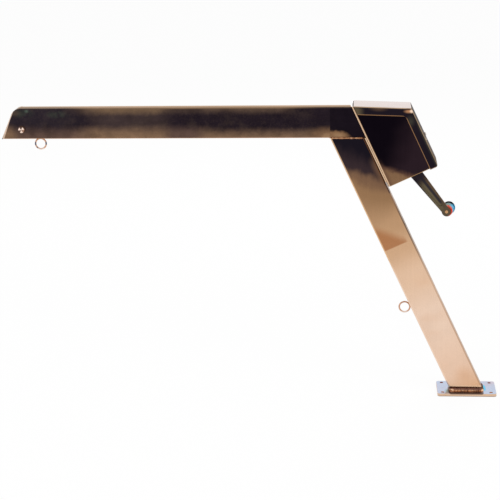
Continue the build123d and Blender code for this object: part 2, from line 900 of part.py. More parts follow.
def make_drum():
    hub_end = cheek_inside - bush_flange - 2 * side_play
    drum = rod(drum_core_radius, -drum_near_flange, drum_far_flange)
    drum += rod(drum_hub_radius, -hub_end, hub_end)
    drum += rod(drum_flange_radius, -drum_near_flange - drum_flange, -drum_near_flange)
    drum += rod(drum_flange_radius, drum_far_flange, gear_near)
    drum -= rod(drum_bush_radius + press_fit, -frame_width, frame_width)
    # the rope goes in through the near flange, beside the core
    rope_hole = rope_diameter / 2 + rope_room
    drum -= rod(rope_hole, -frame_width, -drum_near_flange, 0, drum_core_radius + rope_hole)
    for x in clamp_screw_places():
        drum -= rod(clamp_screw / 2 + press_fit, -frame_width, -drum_near_flange, x, clamp_radius)
    return drum


def clamp_screw_places():
    reach = clamp_length / 2 - clamp_screw_edge
    return (-reach, reach)


def make_drum_gear():
    """Turned so that a gap between two teeth is straight below the axis."""
    gear = involute_gear(drum_teeth, gear_width, drum_hub_radius + press_fit, 180.0 / drum_teeth)
    circle = (drum_hub_radius + drum_root_radius) / 2
    for k in range(web_holes):
        hole = Cylinder(web_hole_radius, 4 * gear_width)
        gear -= Rot(0, 0, 360.0 * k / web_holes) * Pos(circle, 0, 0) * hole
    return along_y(gear, 0, gear_near, 0)


def make_drum_bushes():
    bushes = []
    end = cheek_inside - 2 * side_play
    for side in (-1, 1):
        flange = drum_bush_radius + drum_bush_lip
        bush = flanged_bush(axle_radius + run_fit, drum_bush_radius, drum_bush_length, flange)
        bushes.append(along_y(bush, 0, side * end, 0, -side))
    return bushes


def make_rope_clamp():
    block = Box(clamp_length, clamp_thick, clamp_height)
    block = fillet(block.edges().filter_by(Axis.Y), clamp_round)
    face = -drum_near_flange - drum_flange
    clamp = Pos(0, face - clamp_thick / 2, clamp_radius) * block
    for x in clamp_screw_places():
        clamp -= rod(clamp_screw / 2 + bolt_fit, -frame_width, 0, x, clamp_radius)
    return clamp


def make_clamp_screws():
    screws = []
    face = -drum_near_flange - drum_flange - clamp_thick
    for x in clamp_screw_places():
        head = standing(clamp_screw / 2 + clamp_screw_lip, clamp_screw_head)
        head = fillet(head.edges().sort_by(Axis.Z)[-1], clamp_screw_head / 2)
        shank = rod(clamp_screw / 2, face, face + clamp_thick + drum_flange, x, clamp_radius)
        screws.append(along_y(head, x, face, clamp_radius, -1) + shank)
    return screws


def make_drum_axle():
    head = along_y(hex_block(axle_head_flats, axle_head_height), 0, -half_frame, 0, -1)
    end = half_frame + axle_washer_thick + axle_nut_height + pin_spare
    return head + rod(axle_radius, -half_frame, end)


def make_axle_nut():
    nut = hex_nut(axle_head_flats, axle_nut_height, axle_radius)
    return along_y(nut, 0, half_frame + axle_washer_thick, 0)


def make_axle_washer():
    washer = ring(axle_radius + axle_washer_lip, axle_radius + bolt_fit, axle_washer_thick)
    return along_y(washer, 0, half_frame, 0)


# Drive shaft and what it carries, drawn about the shaft's axis

def make_drive_shaft():
    """Plain through its bushes, then two flats for the crank and a stud for its nut."""
    shaft = rod(shaft_radius, -clip_near - circlip_thick - shaft_spare, hub_near)
    flats = rod(shaft_radius, hub_near, hub_far - flat_short)
    flats = flats & (Pos(0, hub_far, 0) * Box(4 * shaft_radius, 4 * crank_hub_thick, shaft_flats))
    stud_end = hub_far + crank_washer_thick + crank_nut_height - stud_short
    shaft = shaft + flats + rod(stud_radius, hub_near, stud_end)
    return shaft - clip_groove(shaft_radius, -clip_near - circlip_thick)


def make_pinion():
    """Turned so that a tooth is straight above the axis, in the gap of the drum's gear."""
    width = gear_width + 2 * pinion_spare
    pinion = involute_gear(pinion_teeth, width, shaft_radius + press_fit, 90.0)
    return along_y(pinion, 0, gear_near - pinion_spare, 0)


def make_shaft_bushes():
    bushes = []
    for side in (-1, 1):
        flange = shaft_bush_radius + bush_lip
        bush = flanged_bush(shaft_radius + run_fit, shaft_bush_radius, frame_sheet, flange)
        bushes.append(along_y(bush, 0, side * (cheek_inside - bush_flange), 0, side))
    return bushes


def make_wall_bush():
    bore = shaft_radius + wall_bush_fit
    body = ring(wall_bush_radius, bore, box_sheet + wall_bush_proud)
    flange = ring(wall_bush_radius + bush_lip, bore, wall_bush_flange_thick)
    bush = body + Pos(0, 0, box_sheet + wall_bush_proud) * flange
    return along_y(bush, 0, half_box - box_sheet - wall_bush_proud, 0)


def make_ratchet_wheel():
    points = []
    for k in range(ratchet_teeth):
        angle = 2 * pi * k / ratchet_teeth
        following = 2 * pi * (k + 1) / ratchet_teeth
        points.append((ratchet_radius * cos(angle), ratchet_radius * sin(angle)))
        root = ratchet_radius - ratchet_tooth
        points.append((root * cos(following), root * sin(following)))
    wheel = Polygon(*points, align=None) - Circle(shaft_radius + press_fit)
    near = half_frame + 2 * side_play
    return side_prism(wheel, near, near + ratchet_width)


# Pawl, drawn about the drive shaft's axis

def make_pawl():
    """Tip over the top of the wheel, boss on its pin, and a tail with a finger tab bent inwards."""
    tip_low = ratchet_radius + pawl_tip_gap
    arm = Polygon(
        (pawl_tip_lead, tip_low),
        (pawl_pivot_depth, pawl_pivot_up - pawl_boss),
        (pawl_pivot_depth, pawl_pivot_up + pawl_boss),
        (pawl_tip_lead + pawl_tip_undercut, tip_low + pawl_tip_height),
        align=None,
    )
    pivot = Pos(pawl_pivot_depth, pawl_pivot_up)
    arm += pivot * Circle(pawl_boss)
    tail = pivot * Rot(0, 0, -pawl_tail_fall)
    arm += tail * Pos(pawl_tail / 2, 0) * Rectangle(pawl_tail, pawl_tail_width)
    arm -= pivot * Circle(pawl_pin_radius + run_fit)
    near = half_frame + 2 * side_play
    pawl = side_prism(arm, near, near + pawl_width)
    tab = tail * Pos(pawl_tail - pawl_tab_thick / 2, 0) * Rectangle(pawl_tab_thick, pawl_tail_width)
    return pawl + side_prism(tab, near - pawl_tab, near + pawl_width)


def make_pawl_pin():
    near = half_frame + 3 * side_play + pawl_width
    pin = rod(pawl_pin_radius, cheek_inside, near)
    pin += along_y(pin_head(pawl_pin_radius + pin_head_lip), 0, near, 0)
    return Pos(pawl_pivot_depth, 0, pawl_pivot_up) * pin


# Guide roller, drawn about its own axis

def make_guide_roller():
    half = cheek_inside - 2 * side_play
    edges = [
        Line((0, -half), (roller_radius, -half)),
        ThreePointArc((roller_radius, -half), (roller_waist, 0), (roller_radius, half)),
        Line((roller_radius, half), (0, half)),
        Line((0, half), (0, -half)),
    ]
    roller = revolve(Sketch() + Face(Wire(edges)), axis=Axis.Y)
    return roller - rod(roller_pin_radius + run_fit, -2 * half, 2 * half)


def make_guide_pin():
    pin = rod(roller_pin_radius, -half_frame, clip_near + circlip_thick + pin_spare)
    pin += along_y(pin_head(roller_pin_radius + pin_head_lip), 0, -half_frame, 0, -1)
    return pin - clip_groove(roller_pin_radius, clip_near)


# Crank, drawn with X along the arm from the shaft to the grip, and Y away from the post

def crank_shape(start, start_radius, stop, stop_radius):
    """Two circles joined by their common tangents."""
    span = stop - start
    lean_angle = acos((start_radius - stop_radius) / span)
    touch = []
    for x, radius in ((start, start_radius), (stop, stop_radius)):
        touch.append((x + radius * cos(lean_angle), radius * sin(lean_angle)))
    edges = [
        ThreePointArc((touch[0][0], -touch[0][1]), (start - start_radius, 0), touch[0]),
        Line(touch[0], touch[1]),
        ThreePointArc(touch[1], (stop + stop_radius, 0), (touch[1][0], -touch[1][1])),
        Line((touch[1][0], -touch[1][1]), (touch[0][0], -touch[0][1])),
    ]
    return Sketch() + Face(Wire(edges))


crank_frame = lean * Pos(drive_depth, 0, drive_up) * Rot(0, 90.0 - crank_rest, 0)
grip_frame = Pos(crank_length, hub_near, 0) * Rot(0, 0, -grip_splay)


def make_crank_arm():
    outline = crank_shape(0.0, crank_hub_radius, crank_length, crank_end_radius)
    arm = side_prism(outline, crank_near, crank_near + crank_thick)
    groove = crank_shape(groove_start, groove_start_radius, crank_length - groove_stop, groove_stop_radius)
    arm -= side_prism(groove, crank_near, crank_near + groove_depth)
    arm -= side_prism(groove, crank_near + crank_thick - groove_depth, crank_near + crank_thick)
    arm += rod(crank_hub_radius, hub_near, hub_far)
    arm += grip_frame * rod(boss_radius, 0, boss_thick)
    arm -= grip_frame * rod(grip_pin_radius + press_fit, -boss_thick, 2 * boss_thick)
    # the bore's flats lie along those of the shaft, which isn't turned with the crank
    bore = Circle(shaft_radius + run_fit) & Rectangle(4 * shaft_radius, shaft_flats + 2 * run_fit)
    arm -= Rot(0, crank_rest - 90.0, 0) * side_prism(bore, 0, 2 * hub_far)
    return arm


def make_crank_washer():
    washer = ring(stud_radius + crank_washer_lip, stud_radius + bolt_fit, crank_washer_thick)
    return along_y(washer, 0, hub_far, 0)


def make_crank_nut():
    """A domed nut that closes the end of the shaft."""
    nut = hex_block(crank_nut_flats, crank_nut_height)
    ball_radius = (crank_nut_dome_radius ** 2 + crank_nut_dome ** 2) / (2 * crank_nut_dome)
    ball = Pos(0, 0, crank_nut_height + crank_nut_dome - ball_radius) * Sphere(ball_radius)
    nut += ball & (Pos(0, 0, crank_nut_height) * standing(2 * ball_radius, 2 * ball_radius))
    nut -= Cylinder(stud_radius + press_fit, 2 * crank_nut_height)
    return along_y(nut, 0, hub_far + crank_washer_thick, 0)


# Grip, drawn along Y from the near face of the crank's end boss

def make_grip_pin():
    head = standing(grip_pin_radius + grip_pin_head_lip, grip_pin_head)
    head = fillet(head.edges().sort_by(Axis.Z)[-1], grip_pin_round)
    pin = rod(grip_pin_radius, 0, grip_pin_end) + along_y(head, 0, 0, 0, -1)
    return pin - clip_groove(grip_pin_radius, grip_end + side_play)


def make_grip_washer():
    washer = ring(grip_washer_radius, grip_pin_radius + bolt_fit, grip_washer_thick)
    return along_y(washer, 0, boss_thick, 0)


def make_crank_grip():
    """A turned handle that swells towards its middle."""
    near_flat = grip_near_radius - grip_near_round / 2
    far_flat = grip_far_radius - grip_far_fall
    edges = [
        Line((0, grip_start), (near_flat, grip_start)),
        Spline(
            (near_flat, grip_start),
            (grip_near_radius, grip_start + grip_near_round),
            (grip_middle_radius, grip_start + grip_length * grip_swell),
            (grip_far_radius, grip_end - grip_far_round),
            (far_flat, grip_end),
        ),
        Line((far_flat, grip_end), (0, grip_end)),
        Line((0, grip_end), (0, grip_start)),
    ]
    grip = revolve(Sketch() + Face(Wire(edges)), axis=Axis.Y)
    return grip - rod(grip_pin_radius + run_fit, 0, 2 * grip_end)


def make_grip_cap():
    """A round cap on the grip's far end, hollow over the end of the pin and its clip."""
    cap = standing(grip_cap_radius, grip_cap_length)
    cap = fillet(cap.edges().sort_by(Axis.Z)[-1], grip_cap_round)
    cap = fillet(cap.edges().filter_by(GeomType.CIRCLE).sort_by(Axis.Z)[0], grip_cap_edge)
    pocket_radius = grip_pin_radius + circlip_lip + grip_cap_room
    cap -= Cylinder(pocket_radius, 2 * (grip_pin_end - grip_end + grip_cap_room))
    return along_y(cap, 0, grip_end, 0)


def main():
    os.makedirs("parts", exist_ok=True)
    drum_place = lean * Pos(drive_depth, 0, drum_up)
    shaft_place = lean * Pos(drive_depth, 0, drive_up)
    roller_place = lean * Pos(roller_depth, 0, roller_up)
    sheave_x, sheave_z = sheave_place()
    sheave_frame = Pos(sheave_x, 0, sheave_z)
    grip_place = crank_frame * grip_frame

    save("base_plate", make_base_plate())
    save("post_tube", make_post_tube())
    save("arm_tube", make_arm_tube())
    save("nose_plate", make_nose_plate())
    save("base_weld", make_base_weld())
    save("elbow_weld", *make_elbow_weld())

    arm_ring, arm_bead = make_eye(arm_eye_frame())
    post_ring, post_bead = make_eye(post_eye_frame())
    save("arm_eye", arm_ring)
    save("post_eye", post_ring)
    save("arm_eye_weld", arm_bead)
    save("post_eye_weld", post_bead)

    save("nose_sheave", sheave_frame * make_sheave())
    save("nose_sheave_bush", sheave_frame * make_sheave_bush())
    save("nose_bolt", sheave_frame * make_nose_bolt())
    save("nose_bolt_nut", sheave_frame * make_nose_nut())
    save("nose_bolt_washers", *[sheave_frame * w for w in make_nose_washers()])
    save("nose_spacers", *[sheave_frame * s for s in make_nose_spacers()])

    save("mounting_pad", make_pad())
    save("housing_box", make_housing_box())
    save("housing_cover", make_housing_cover())
    save("cover_screws", *make_cover_screws())
    save("winch_frame", make_winch_frame())
    save("winch_bolts", *make_winch_bolts())
    save("weld_nuts", *make_weld_nuts())

    save("drum", drum_place * make_drum())
    save("drum_gear", drum_place * make_drum_gear())
    save("drum_bushes", *[drum_place * b for b in make_drum_bushes()])
    save("rope_clamp", drum_place * make_rope_clamp())
    save("rope_clamp_screws", *[drum_place * s for s in make_clamp_screws()])
    save("drum_axle", drum_place * make_drum_axle())
    save("drum_axle_nut", drum_place * make_axle_nut())
    save("drum_axle_washer", drum_place * make_axle_washer())

    save("drive_shaft", shaft_place * make_drive_shaft())
    save("pinion", shaft_place * make_pinion())
    save("shaft_bushes", *[shaft_place * b for b in make_shaft_bushes()])
    save("shaft_circlip", shaft_place * circlip(shaft_radius, -clip_near - circlip_thick))
    save("wall_bush", shaft_place * make_wall_bush())
    save("ratchet_wheel", shaft_place * make_ratchet_wheel())
    save("pawl", shaft_place * make_pawl())
    save("pawl_pin", shaft_place * make_pawl_pin())

    save("guide_roller", roller_place * make_guide_roller())
    save("guide_pin", roller_place * make_guide_pin())
    save("guide_pin_circlip", roller_place * circlip(roller_pin_radius, clip_near))

    save("crank_arm", crank_frame * make_crank_arm())
    save("crank_washer", crank_frame * make_crank_washer())
    save("crank_nut", crank_frame * make_crank_nut())
    save("grip_pin", grip_place * make_grip_pin())
    save("grip_washer", grip_place * make_grip_washer())
    save("grip_clip", grip_place * circlip(grip_pin_radius, grip_end + side_play))
    save("crank_grip", grip_place * make_crank_grip())
    save("grip_cap", grip_place * make_grip_cap())


main()
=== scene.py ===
import json
from math import cos, pi, radians, sin, tan

import bmesh
import bpy
import numpy as np
from mathutils import Matrix, Vector

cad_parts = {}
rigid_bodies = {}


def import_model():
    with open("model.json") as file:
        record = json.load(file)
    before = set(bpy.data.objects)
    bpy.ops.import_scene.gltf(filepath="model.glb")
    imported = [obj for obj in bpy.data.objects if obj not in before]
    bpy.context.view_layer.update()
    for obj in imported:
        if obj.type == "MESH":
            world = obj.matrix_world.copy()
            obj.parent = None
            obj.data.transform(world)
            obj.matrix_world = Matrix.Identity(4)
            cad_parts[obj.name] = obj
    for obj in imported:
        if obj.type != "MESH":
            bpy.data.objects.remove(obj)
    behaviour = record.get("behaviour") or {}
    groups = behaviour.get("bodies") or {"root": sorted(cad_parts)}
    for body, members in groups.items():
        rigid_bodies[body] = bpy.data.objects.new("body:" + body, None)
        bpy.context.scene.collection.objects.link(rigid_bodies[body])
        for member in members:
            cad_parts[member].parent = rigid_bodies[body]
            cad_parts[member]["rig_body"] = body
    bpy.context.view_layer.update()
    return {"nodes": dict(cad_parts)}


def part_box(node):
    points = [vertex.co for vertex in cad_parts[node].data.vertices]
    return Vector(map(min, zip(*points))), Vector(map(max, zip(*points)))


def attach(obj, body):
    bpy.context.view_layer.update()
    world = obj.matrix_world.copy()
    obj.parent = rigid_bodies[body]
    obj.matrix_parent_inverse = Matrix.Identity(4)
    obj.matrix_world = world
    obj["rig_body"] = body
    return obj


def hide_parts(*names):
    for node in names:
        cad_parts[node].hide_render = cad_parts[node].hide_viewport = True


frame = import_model()
print("frame loaded,", len(frame["nodes"]), "nodes")

# Where the photograph was taken from, fitted to the edges of the tubes, housing and foot plate
camera = {
    "lens": 110.215,
    "sensor": 36.0,
    "place": (-0.32881, -4.86587, 1.86969),
    "azimuth": radians(4.5915),
    "elevation": radians(15.787),
    "dip": radians(0.0131),
    "roll": radians(-1.119),
}


def makeCamera():
    azimuth, roll = camera["azimuth"], camera["roll"]
    elevation = camera["elevation"] + camera["dip"]
    back = Vector((sin(azimuth) * cos(elevation), -cos(azimuth) * cos(elevation), sin(elevation)))
    right = Vector((cos(azimuth), sin(azimuth), 0.0))
    up = back.cross(right)
    tiltedRight = right * cos(roll) + up * sin(roll)
    tiltedUp = up * cos(roll) - right * sin(roll)
    seen = bpy.data.cameras.new("photoCamera")
    seen.lens = camera["lens"]
    seen.sensor_width = camera["sensor"]
    holder = bpy.data.objects.new("photoCamera", seen)
    bpy.context.scene.collection.objects.link(holder)
    turn = Matrix((tiltedRight, tiltedUp, back)).transposed().to_4x4()
    holder.matrix_world = Matrix.Translation(camera["place"]) @ turn
    bpy.context.scene.camera = holder


black, white = (0, 0, 0, 1), (1, 1, 1, 1)

# Plain studio: white seen straight and in the steel, softer light for the shadows
studio = {
    "seen": 1.0,
    "fill": 0.72,
    "floorSize": 60.0,
    "floorGlow": 0.92,
    "lamps": {
        "overLeft": {"place": (-2.6, -3.2, 3.6), "size": 2.4, "power": 40.0},
        "overRight": {"place": (2.4, -2.6, 3.0), "size": 2.4, "power": 28.0},
        "behind": {"place": (-0.4, 3.4, 3.4), "size": 3.0, "power": 34.0},
    },
    "aim": (-0.7, 0.0, 0.5),
}


def makeWorld():
    world = bpy.data.worlds.new("whiteRoom")
    world.use_nodes = True
    bpy.context.scene.world = world
    tree = world.node_tree
    glow = tree.nodes["Background"]
    glow.inputs["Color"].default_value = white
    path = tree.nodes.new("ShaderNodeLightPath")
    seen = path.outputs["Is Camera Ray"]
    for ray in ("Is Glossy Ray", "Is Transmission Ray"):
        either = tree.nodes.new("ShaderNodeMath")
        either.operation = "MAXIMUM"
        tree.links.new(seen, either.inputs[0])
        tree.links.new(path.outputs[ray], either.inputs[1])
        seen = either.outputs[0]
    level = tree.nodes.new("ShaderNodeMapRange")
    level.inputs["To Min"].default_value = studio["fill"]
    level.inputs["To Max"].default_value = studio["seen"]
    tree.links.new(seen, level.inputs["Value"])
    tree.links.new(level.outputs["Result"], glow.inputs["Strength"])


def makeLamps():
    for name, lamp in studio["lamps"].items():
        light = bpy.data.lights.new(name, "AREA")
        light.shape = "DISK"
        light.size = lamp["size"]
        light.energy = lamp["power"]
        holder = bpy.data.objects.new(name, light)
        bpy.context.scene.collection.objects.link(holder)
        aim = Vector(studio["aim"]) - Vector(lamp["place"])
        turn = aim.to_track_quat("-Z", "Y").to_matrix().to_4x4()
        holder.matrix_world = Matrix.Translation(lamp["place"]) @ turn
        holder.visible_glossy = False


def makeFloor():
    # White paper that glows a little, so that it stays white and still takes the shadow
    half = studio["floorSize"] / 2
    corners = [(-half, -half, 0), (half, -half, 0), (half, half, 0), (-half, half, 0)]
    mesh = bpy.data.meshes.new("floor")
    mesh.from_pydata(corners, [], [(0, 1, 2, 3)])
    floor = bpy.data.objects.new("floor", mesh)
    bpy.context.scene.collection.objects.link(floor)
    paper = bpy.data.materials.new("whitePaper")
    paper.use_nodes = True
    tree = paper.node_tree
    tree.nodes.clear()
    shine = tree.nodes.new("ShaderNodeEmission")
    matt = tree.nodes.new("ShaderNodeBsdfDiffuse")
    mix = tree.nodes.new("ShaderNodeMixShader")
    out = tree.nodes.new("ShaderNodeOutputMaterial")
    matt.inputs["Color"].default_value = white
    mix.inputs["Fac"].default_value = studio["floorGlow"]
    tree.links.new(matt.outputs[0], mix.inputs[1])
    tree.links.new(shine.outputs[0], mix.inputs[2])
    tree.links.new(mix.outputs[0], out.inputs["Surface"])
    mesh.materials.append(paper)


# The post leans: depth runs back from its rear face, height runs up its slope
lean = radians(24.8)
postDepth = 0.1
postFoot = postDepth / cos(lean) / 2
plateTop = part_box("base_plate")[1].z
slopeAxes = {"depth": (cos(lean), 0.0, sin(lean)), "height": (-sin(lean), 0.0, cos(lean))}
slopeStart = Vector((postFoot, 0.0, plateTop))

# The crank runs from the drive shaft to the grip's pin, and the grip stands a little askew on it
crankEnds = (Vector((-0.205474, 0.0, 0.774151)), Vector((-0.071898, 0.0, 0.604406)))
gripPlace = Vector((-0.071898, 0.057, 0.604406))
gripWay = Vector((0.107385, 0.984808, -0.136463)).normalized()
gripUpLeft = Vector((-0.55, 0.0, 0.83)).normalized()

# The curve by which screens turn a colour's numbers into light
screen = {"knee": 0.04045, "offset": 0.055, "power": 2.4, "slope": 12.92}


def tint(coat):
    # Screen colour, 0 to 255, to the linear colour that a shader takes
    part = np.array(coat[:3]) / 255
    curved = ((part + screen["offset"]) / (1 + screen["offset"])) ** screen["power"]
    light = np.where(part > screen["knee"], curved, part / screen["slope"])
    return (*light.tolist(), 1.0)


# How much of the white room steel shows at a glancing angle
glance = {"dark": (0.30, 0.24, 0.20, 1.0), "warm": (0.72, 0.60, 0.50, 1.0), "white": (1.0, 0.96, 0.94, 1.0)}

# The stretch of a noise's values that is drawn out over a whole range
noiseSpread = {"shade": (0.25, 0.75), "rough": (0.3, 0.7)}
finishes = {}


class Finish:
    # One material in the making. Fields are numbers over the object's own space, masks are fields from
    # 0 to 1, and coats are colours laid by masks. A colour's fourth number is how fully it covers

    def __init__(self, name, coat, metallic=1.0, edge="dark"):
        self.name = name
        self.material = bpy.data.materials.new(name)
        self.material.use_nodes = True
        self.tree = self.material.node_tree
        self.shader = self.tree.nodes["Principled BSDF"]
        self.shader.inputs["Metallic"].default_value = metallic
        if metallic:
            self.shader.inputs["Specular Tint"].default_value = glance[edge]
        where = self.add("ShaderNodeTexCoord")
        self.point = where.outputs["Object"]
        self.normal = where.outputs["Normal"]
        self.fields = {
            "x": self.along((1, 0, 0)),
            "y": self.along((0, 1, 0)),
            "z": self.along((0, 0, 1)),
            "depth": self.along(slopeAxes["depth"], slopeStart),
            "up": self.along(slopeAxes["height"], slopeStart),
            "overPlate": self.along((0, 0, 1), slopeStart),
            "faceZ": self.dot(self.normal, (0, 0, 1)),
            "sideways": self.size(self.dot(self.normal, (0, 1, 0))),
        }
        self.colour = tint(coat)
        self.height = None

    def add(self, kind, inputs=None, **settings):
        made = self.tree.nodes.new(kind)
        for key, value in settings.items():
            setattr(made, key, value)
        for key, value in (inputs or {}).items():
            if isinstance(value, bpy.types.NodeSocket):
                self.tree.links.new(value, made.inputs[key])
            else:
                made.inputs[key].default_value = value
        return made

    def calc(self, operation, first, second=0.0):
        return self.add("ShaderNodeMath", {0: first, 1: second}, operation=operation).outputs[0]

    def size(self, field):
        return self.calc("ABSOLUTE", field)

    def dot(self, vector, axis):
        made = self.add("ShaderNodeVectorMath", {0: vector, 1: axis}, operation="DOT_PRODUCT")
        return made.outputs["Value"]

    def along(self, axis, start=(0.0, 0.0, 0.0)):
        # Distance of a point from start, measured along an axis
        return self.calc("SUBTRACT", self.dot(self.point, axis), Vector(axis).dot(Vector(start)))

    def rise(self, field, start, end):
        # Smooth step from 0 at start to 1 at end, falling where end is below start
        stops = {"Value": field, "From Min": start, "From Max": end}
        return self.add("ShaderNodeMapRange", stops, interpolation_type="SMOOTHSTEP").outputs["Result"]

    def scaled(self, field, start, end, low, high):
        # Runs evenly from low, where the field is at start, to high, where it is at end
        stops = {"Value": field, "From Min": start, "From Max": end, "To Min": low, "To Max": high}
        return self.add("ShaderNodeMapRange", stops).outputs["Result"]

    def band(self, field, low, high, soft):
        # 1 between low and high, with soft edges of a given width
        rises = self.rise(field, low - soft / 2, low + soft / 2)
        return self.both(rises, self.rise(field, high + soft / 2, high - soft / 2))

    def both(self, *masks):
        result = masks[0]
        for mask in masks[1:]:
            result = self.calc("MULTIPLY", result, mask)
        return result

    def either(self, first, second):
        return self.calc("MAXIMUM", first, second)

    def away(self, first, second):
        # Distance in two fields from where both are 0
        return self.calc("SQRT", self.calc("ADD", self.both(first, first), self.both(second, second)))

    def noise(self, scale, detail=3.0, stretch=(1, 1, 1), shift=(0, 0, 0)):
        moved = self.add("ShaderNodeMapping", {"Vector": self.point, "Scale": stretch, "Location": shift})
        made = self.add("ShaderNodeTexNoise", {"Vector": moved.outputs[0], "Scale": scale, "Detail": detail})
        return made.outputs["Fac"]

    def sway(self, field, amount):
        # Noise turned into a push to and fro
        return self.calc("MULTIPLY", self.calc("SUBTRACT", field, 0.5), amount)

    def ragged(self, field, amount, scale, shift=(0, 0, 0)):
        # The field pushed to and fro by noise, for edges that aren't straight
        return self.calc("ADD", field, self.sway(self.noise(scale, shift=shift), amount))

    def cloud(self, scale, low, high, stretch=(1, 1, 1), shift=(0, 0, 0)):
        # Patches of noise, 0 where it is under low and 1 where it is over high
        return self.rise(self.noise(scale, stretch=stretch, shift=shift), low, high)

    def spot(self, first, second, centre, size, soft=1.0):
        # Soft ellipse in two fields, 1 inside and 0 beyond size
        across = self.calc("MULTIPLY", self.calc("SUBTRACT", first, centre[0]), 1 / size[0])
        along = self.calc("MULTIPLY", self.calc("SUBTRACT", second, centre[1]), 1 / size[1])
        return self.rise(self.away(across, along), 1.0, 1.0 - soft)

    def mask(self, shape):
        # A mask is written as its name, as a cloud's settings, as (field, start, full) for a rise,
        # (field, start, end, softness) for a band, or (field, field, centre, size, softness) for a spot
        if isinstance(shape, str):
            return self.fields[shape]
        if isinstance(shape, dict):
            return self.cloud(**shape)
        field, *rest = shape
        if isinstance(rest[0], str):
            return self.spot(self.fields[field], self.fields[rest[0]], *rest[1:])
        return (self.rise if len(rest) == 2 else self.band)(self.fields[field], *rest)

    def keep(self, masks):
        # Names masks for later use, each the product of the ones listed
        for name, shapes in masks.items():
            self.fields[name] = self.both(*(self.mask(shape) for shape in shapes))

    def mix(self, under, over, mask):
        made = self.add("ShaderNodeMix", {0: mask, 6: under, 7: over}, data_type="RGBA")
        return made.outputs[2]

    def lay(self, colour, *masks):
        self.colour = self.mix(self.colour, colour, self.both(*masks))

    def layAll(self, coats):
        # Lays coats in their order, each by the product of its masks and its own share
        for coat, *shapes in coats.values():
            masks = [self.mask(shape) for shape in shapes]
            self.lay(tint(coat), *masks, *coat[3:])

    def gradient(self, field, stops):
        # Colours that blend one into the next along a field, each at its own place
        first, last = stops[0][0], stops[-1][0]
        made = self.add("ShaderNodeValToRGB", {"Fac": self.scaled(field, first, last, 0.0, 1.0)})
        ramp = made.color_ramp
        ramp.interpolation = "EASE"
        while len(ramp.elements) < len(stops):
            ramp.elements.new(0.5)
        for element, (place, colour) in zip(ramp.elements, stops):
            element.position = (place - first) / (last - first)
            element.color = tint(colour)
        return made.outputs["Color"]

    def shade(self, field, amount):
        # Lightens and darkens the colour by a share either way
        level = self.scaled(field, *noiseSpread["shade"], 1 - amount, 1 + amount)
        grey = self.add("ShaderNodeCombineColor", {0: level, 1: level, 2: level}).outputs[0]
        factors = {0: 1.0, 6: self.colour, 7: grey}
        self.colour = self.add("ShaderNodeMix", factors, data_type="RGBA", blend_type="MULTIPLY").outputs[2]

    def rough(self, low, high, field):
        level = self.scaled(field, *noiseSpread["rough"], low, high)
        self.tree.links.new(level, self.shader.inputs["Roughness"])

    def relief(self, field, depth):
        # Adds to the height that the bump is worked out from
        part = self.calc("MULTIPLY", field, depth)
        self.height = part if self.height is None else self.calc("ADD", self.height, part)

    def done(self):
        self.tree.links.new(self.colour, self.shader.inputs["Base Color"])
        bump = self.add("ShaderNodeBump", {"Height": self.height, "Distance": 1.0, "Strength": 1.0})
        self.tree.links.new(bump.outputs[0], self.shader.inputs["Normal"])
        finishes[self.name] = self.material


# What polished stainless shows close up: polishing lines, smears and slow waves in the sheet
polish = {
    "grain": {"scale": 1.0, "detail": 2.0},
    "haze": {"scale": 22.0, "detail": 5.0},
    "waves": {"scale": 5.0, "detail": 1.0, "shift": (3.1, 1.7, 0.4)},
    "lineDepth": 2e-6,
    "waveDepth": 4e-5,
}


def polished(steel, stretch, low=0.10, high=0.24, lines=0.05, smears=0.08):
    grain = steel.noise(stretch=stretch, **polish["grain"])
    haze = steel.noise(**polish["haze"])
    waves = steel.noise(**polish["waves"])
    steel.shade(grain, lines)
    steel.shade(haze, smears)
    steel.rough(low, high, haze)
    steel.relief(grain, polish["lineDepth"])
    steel.relief(waves, polish["waveDepth"])
    steel.done()


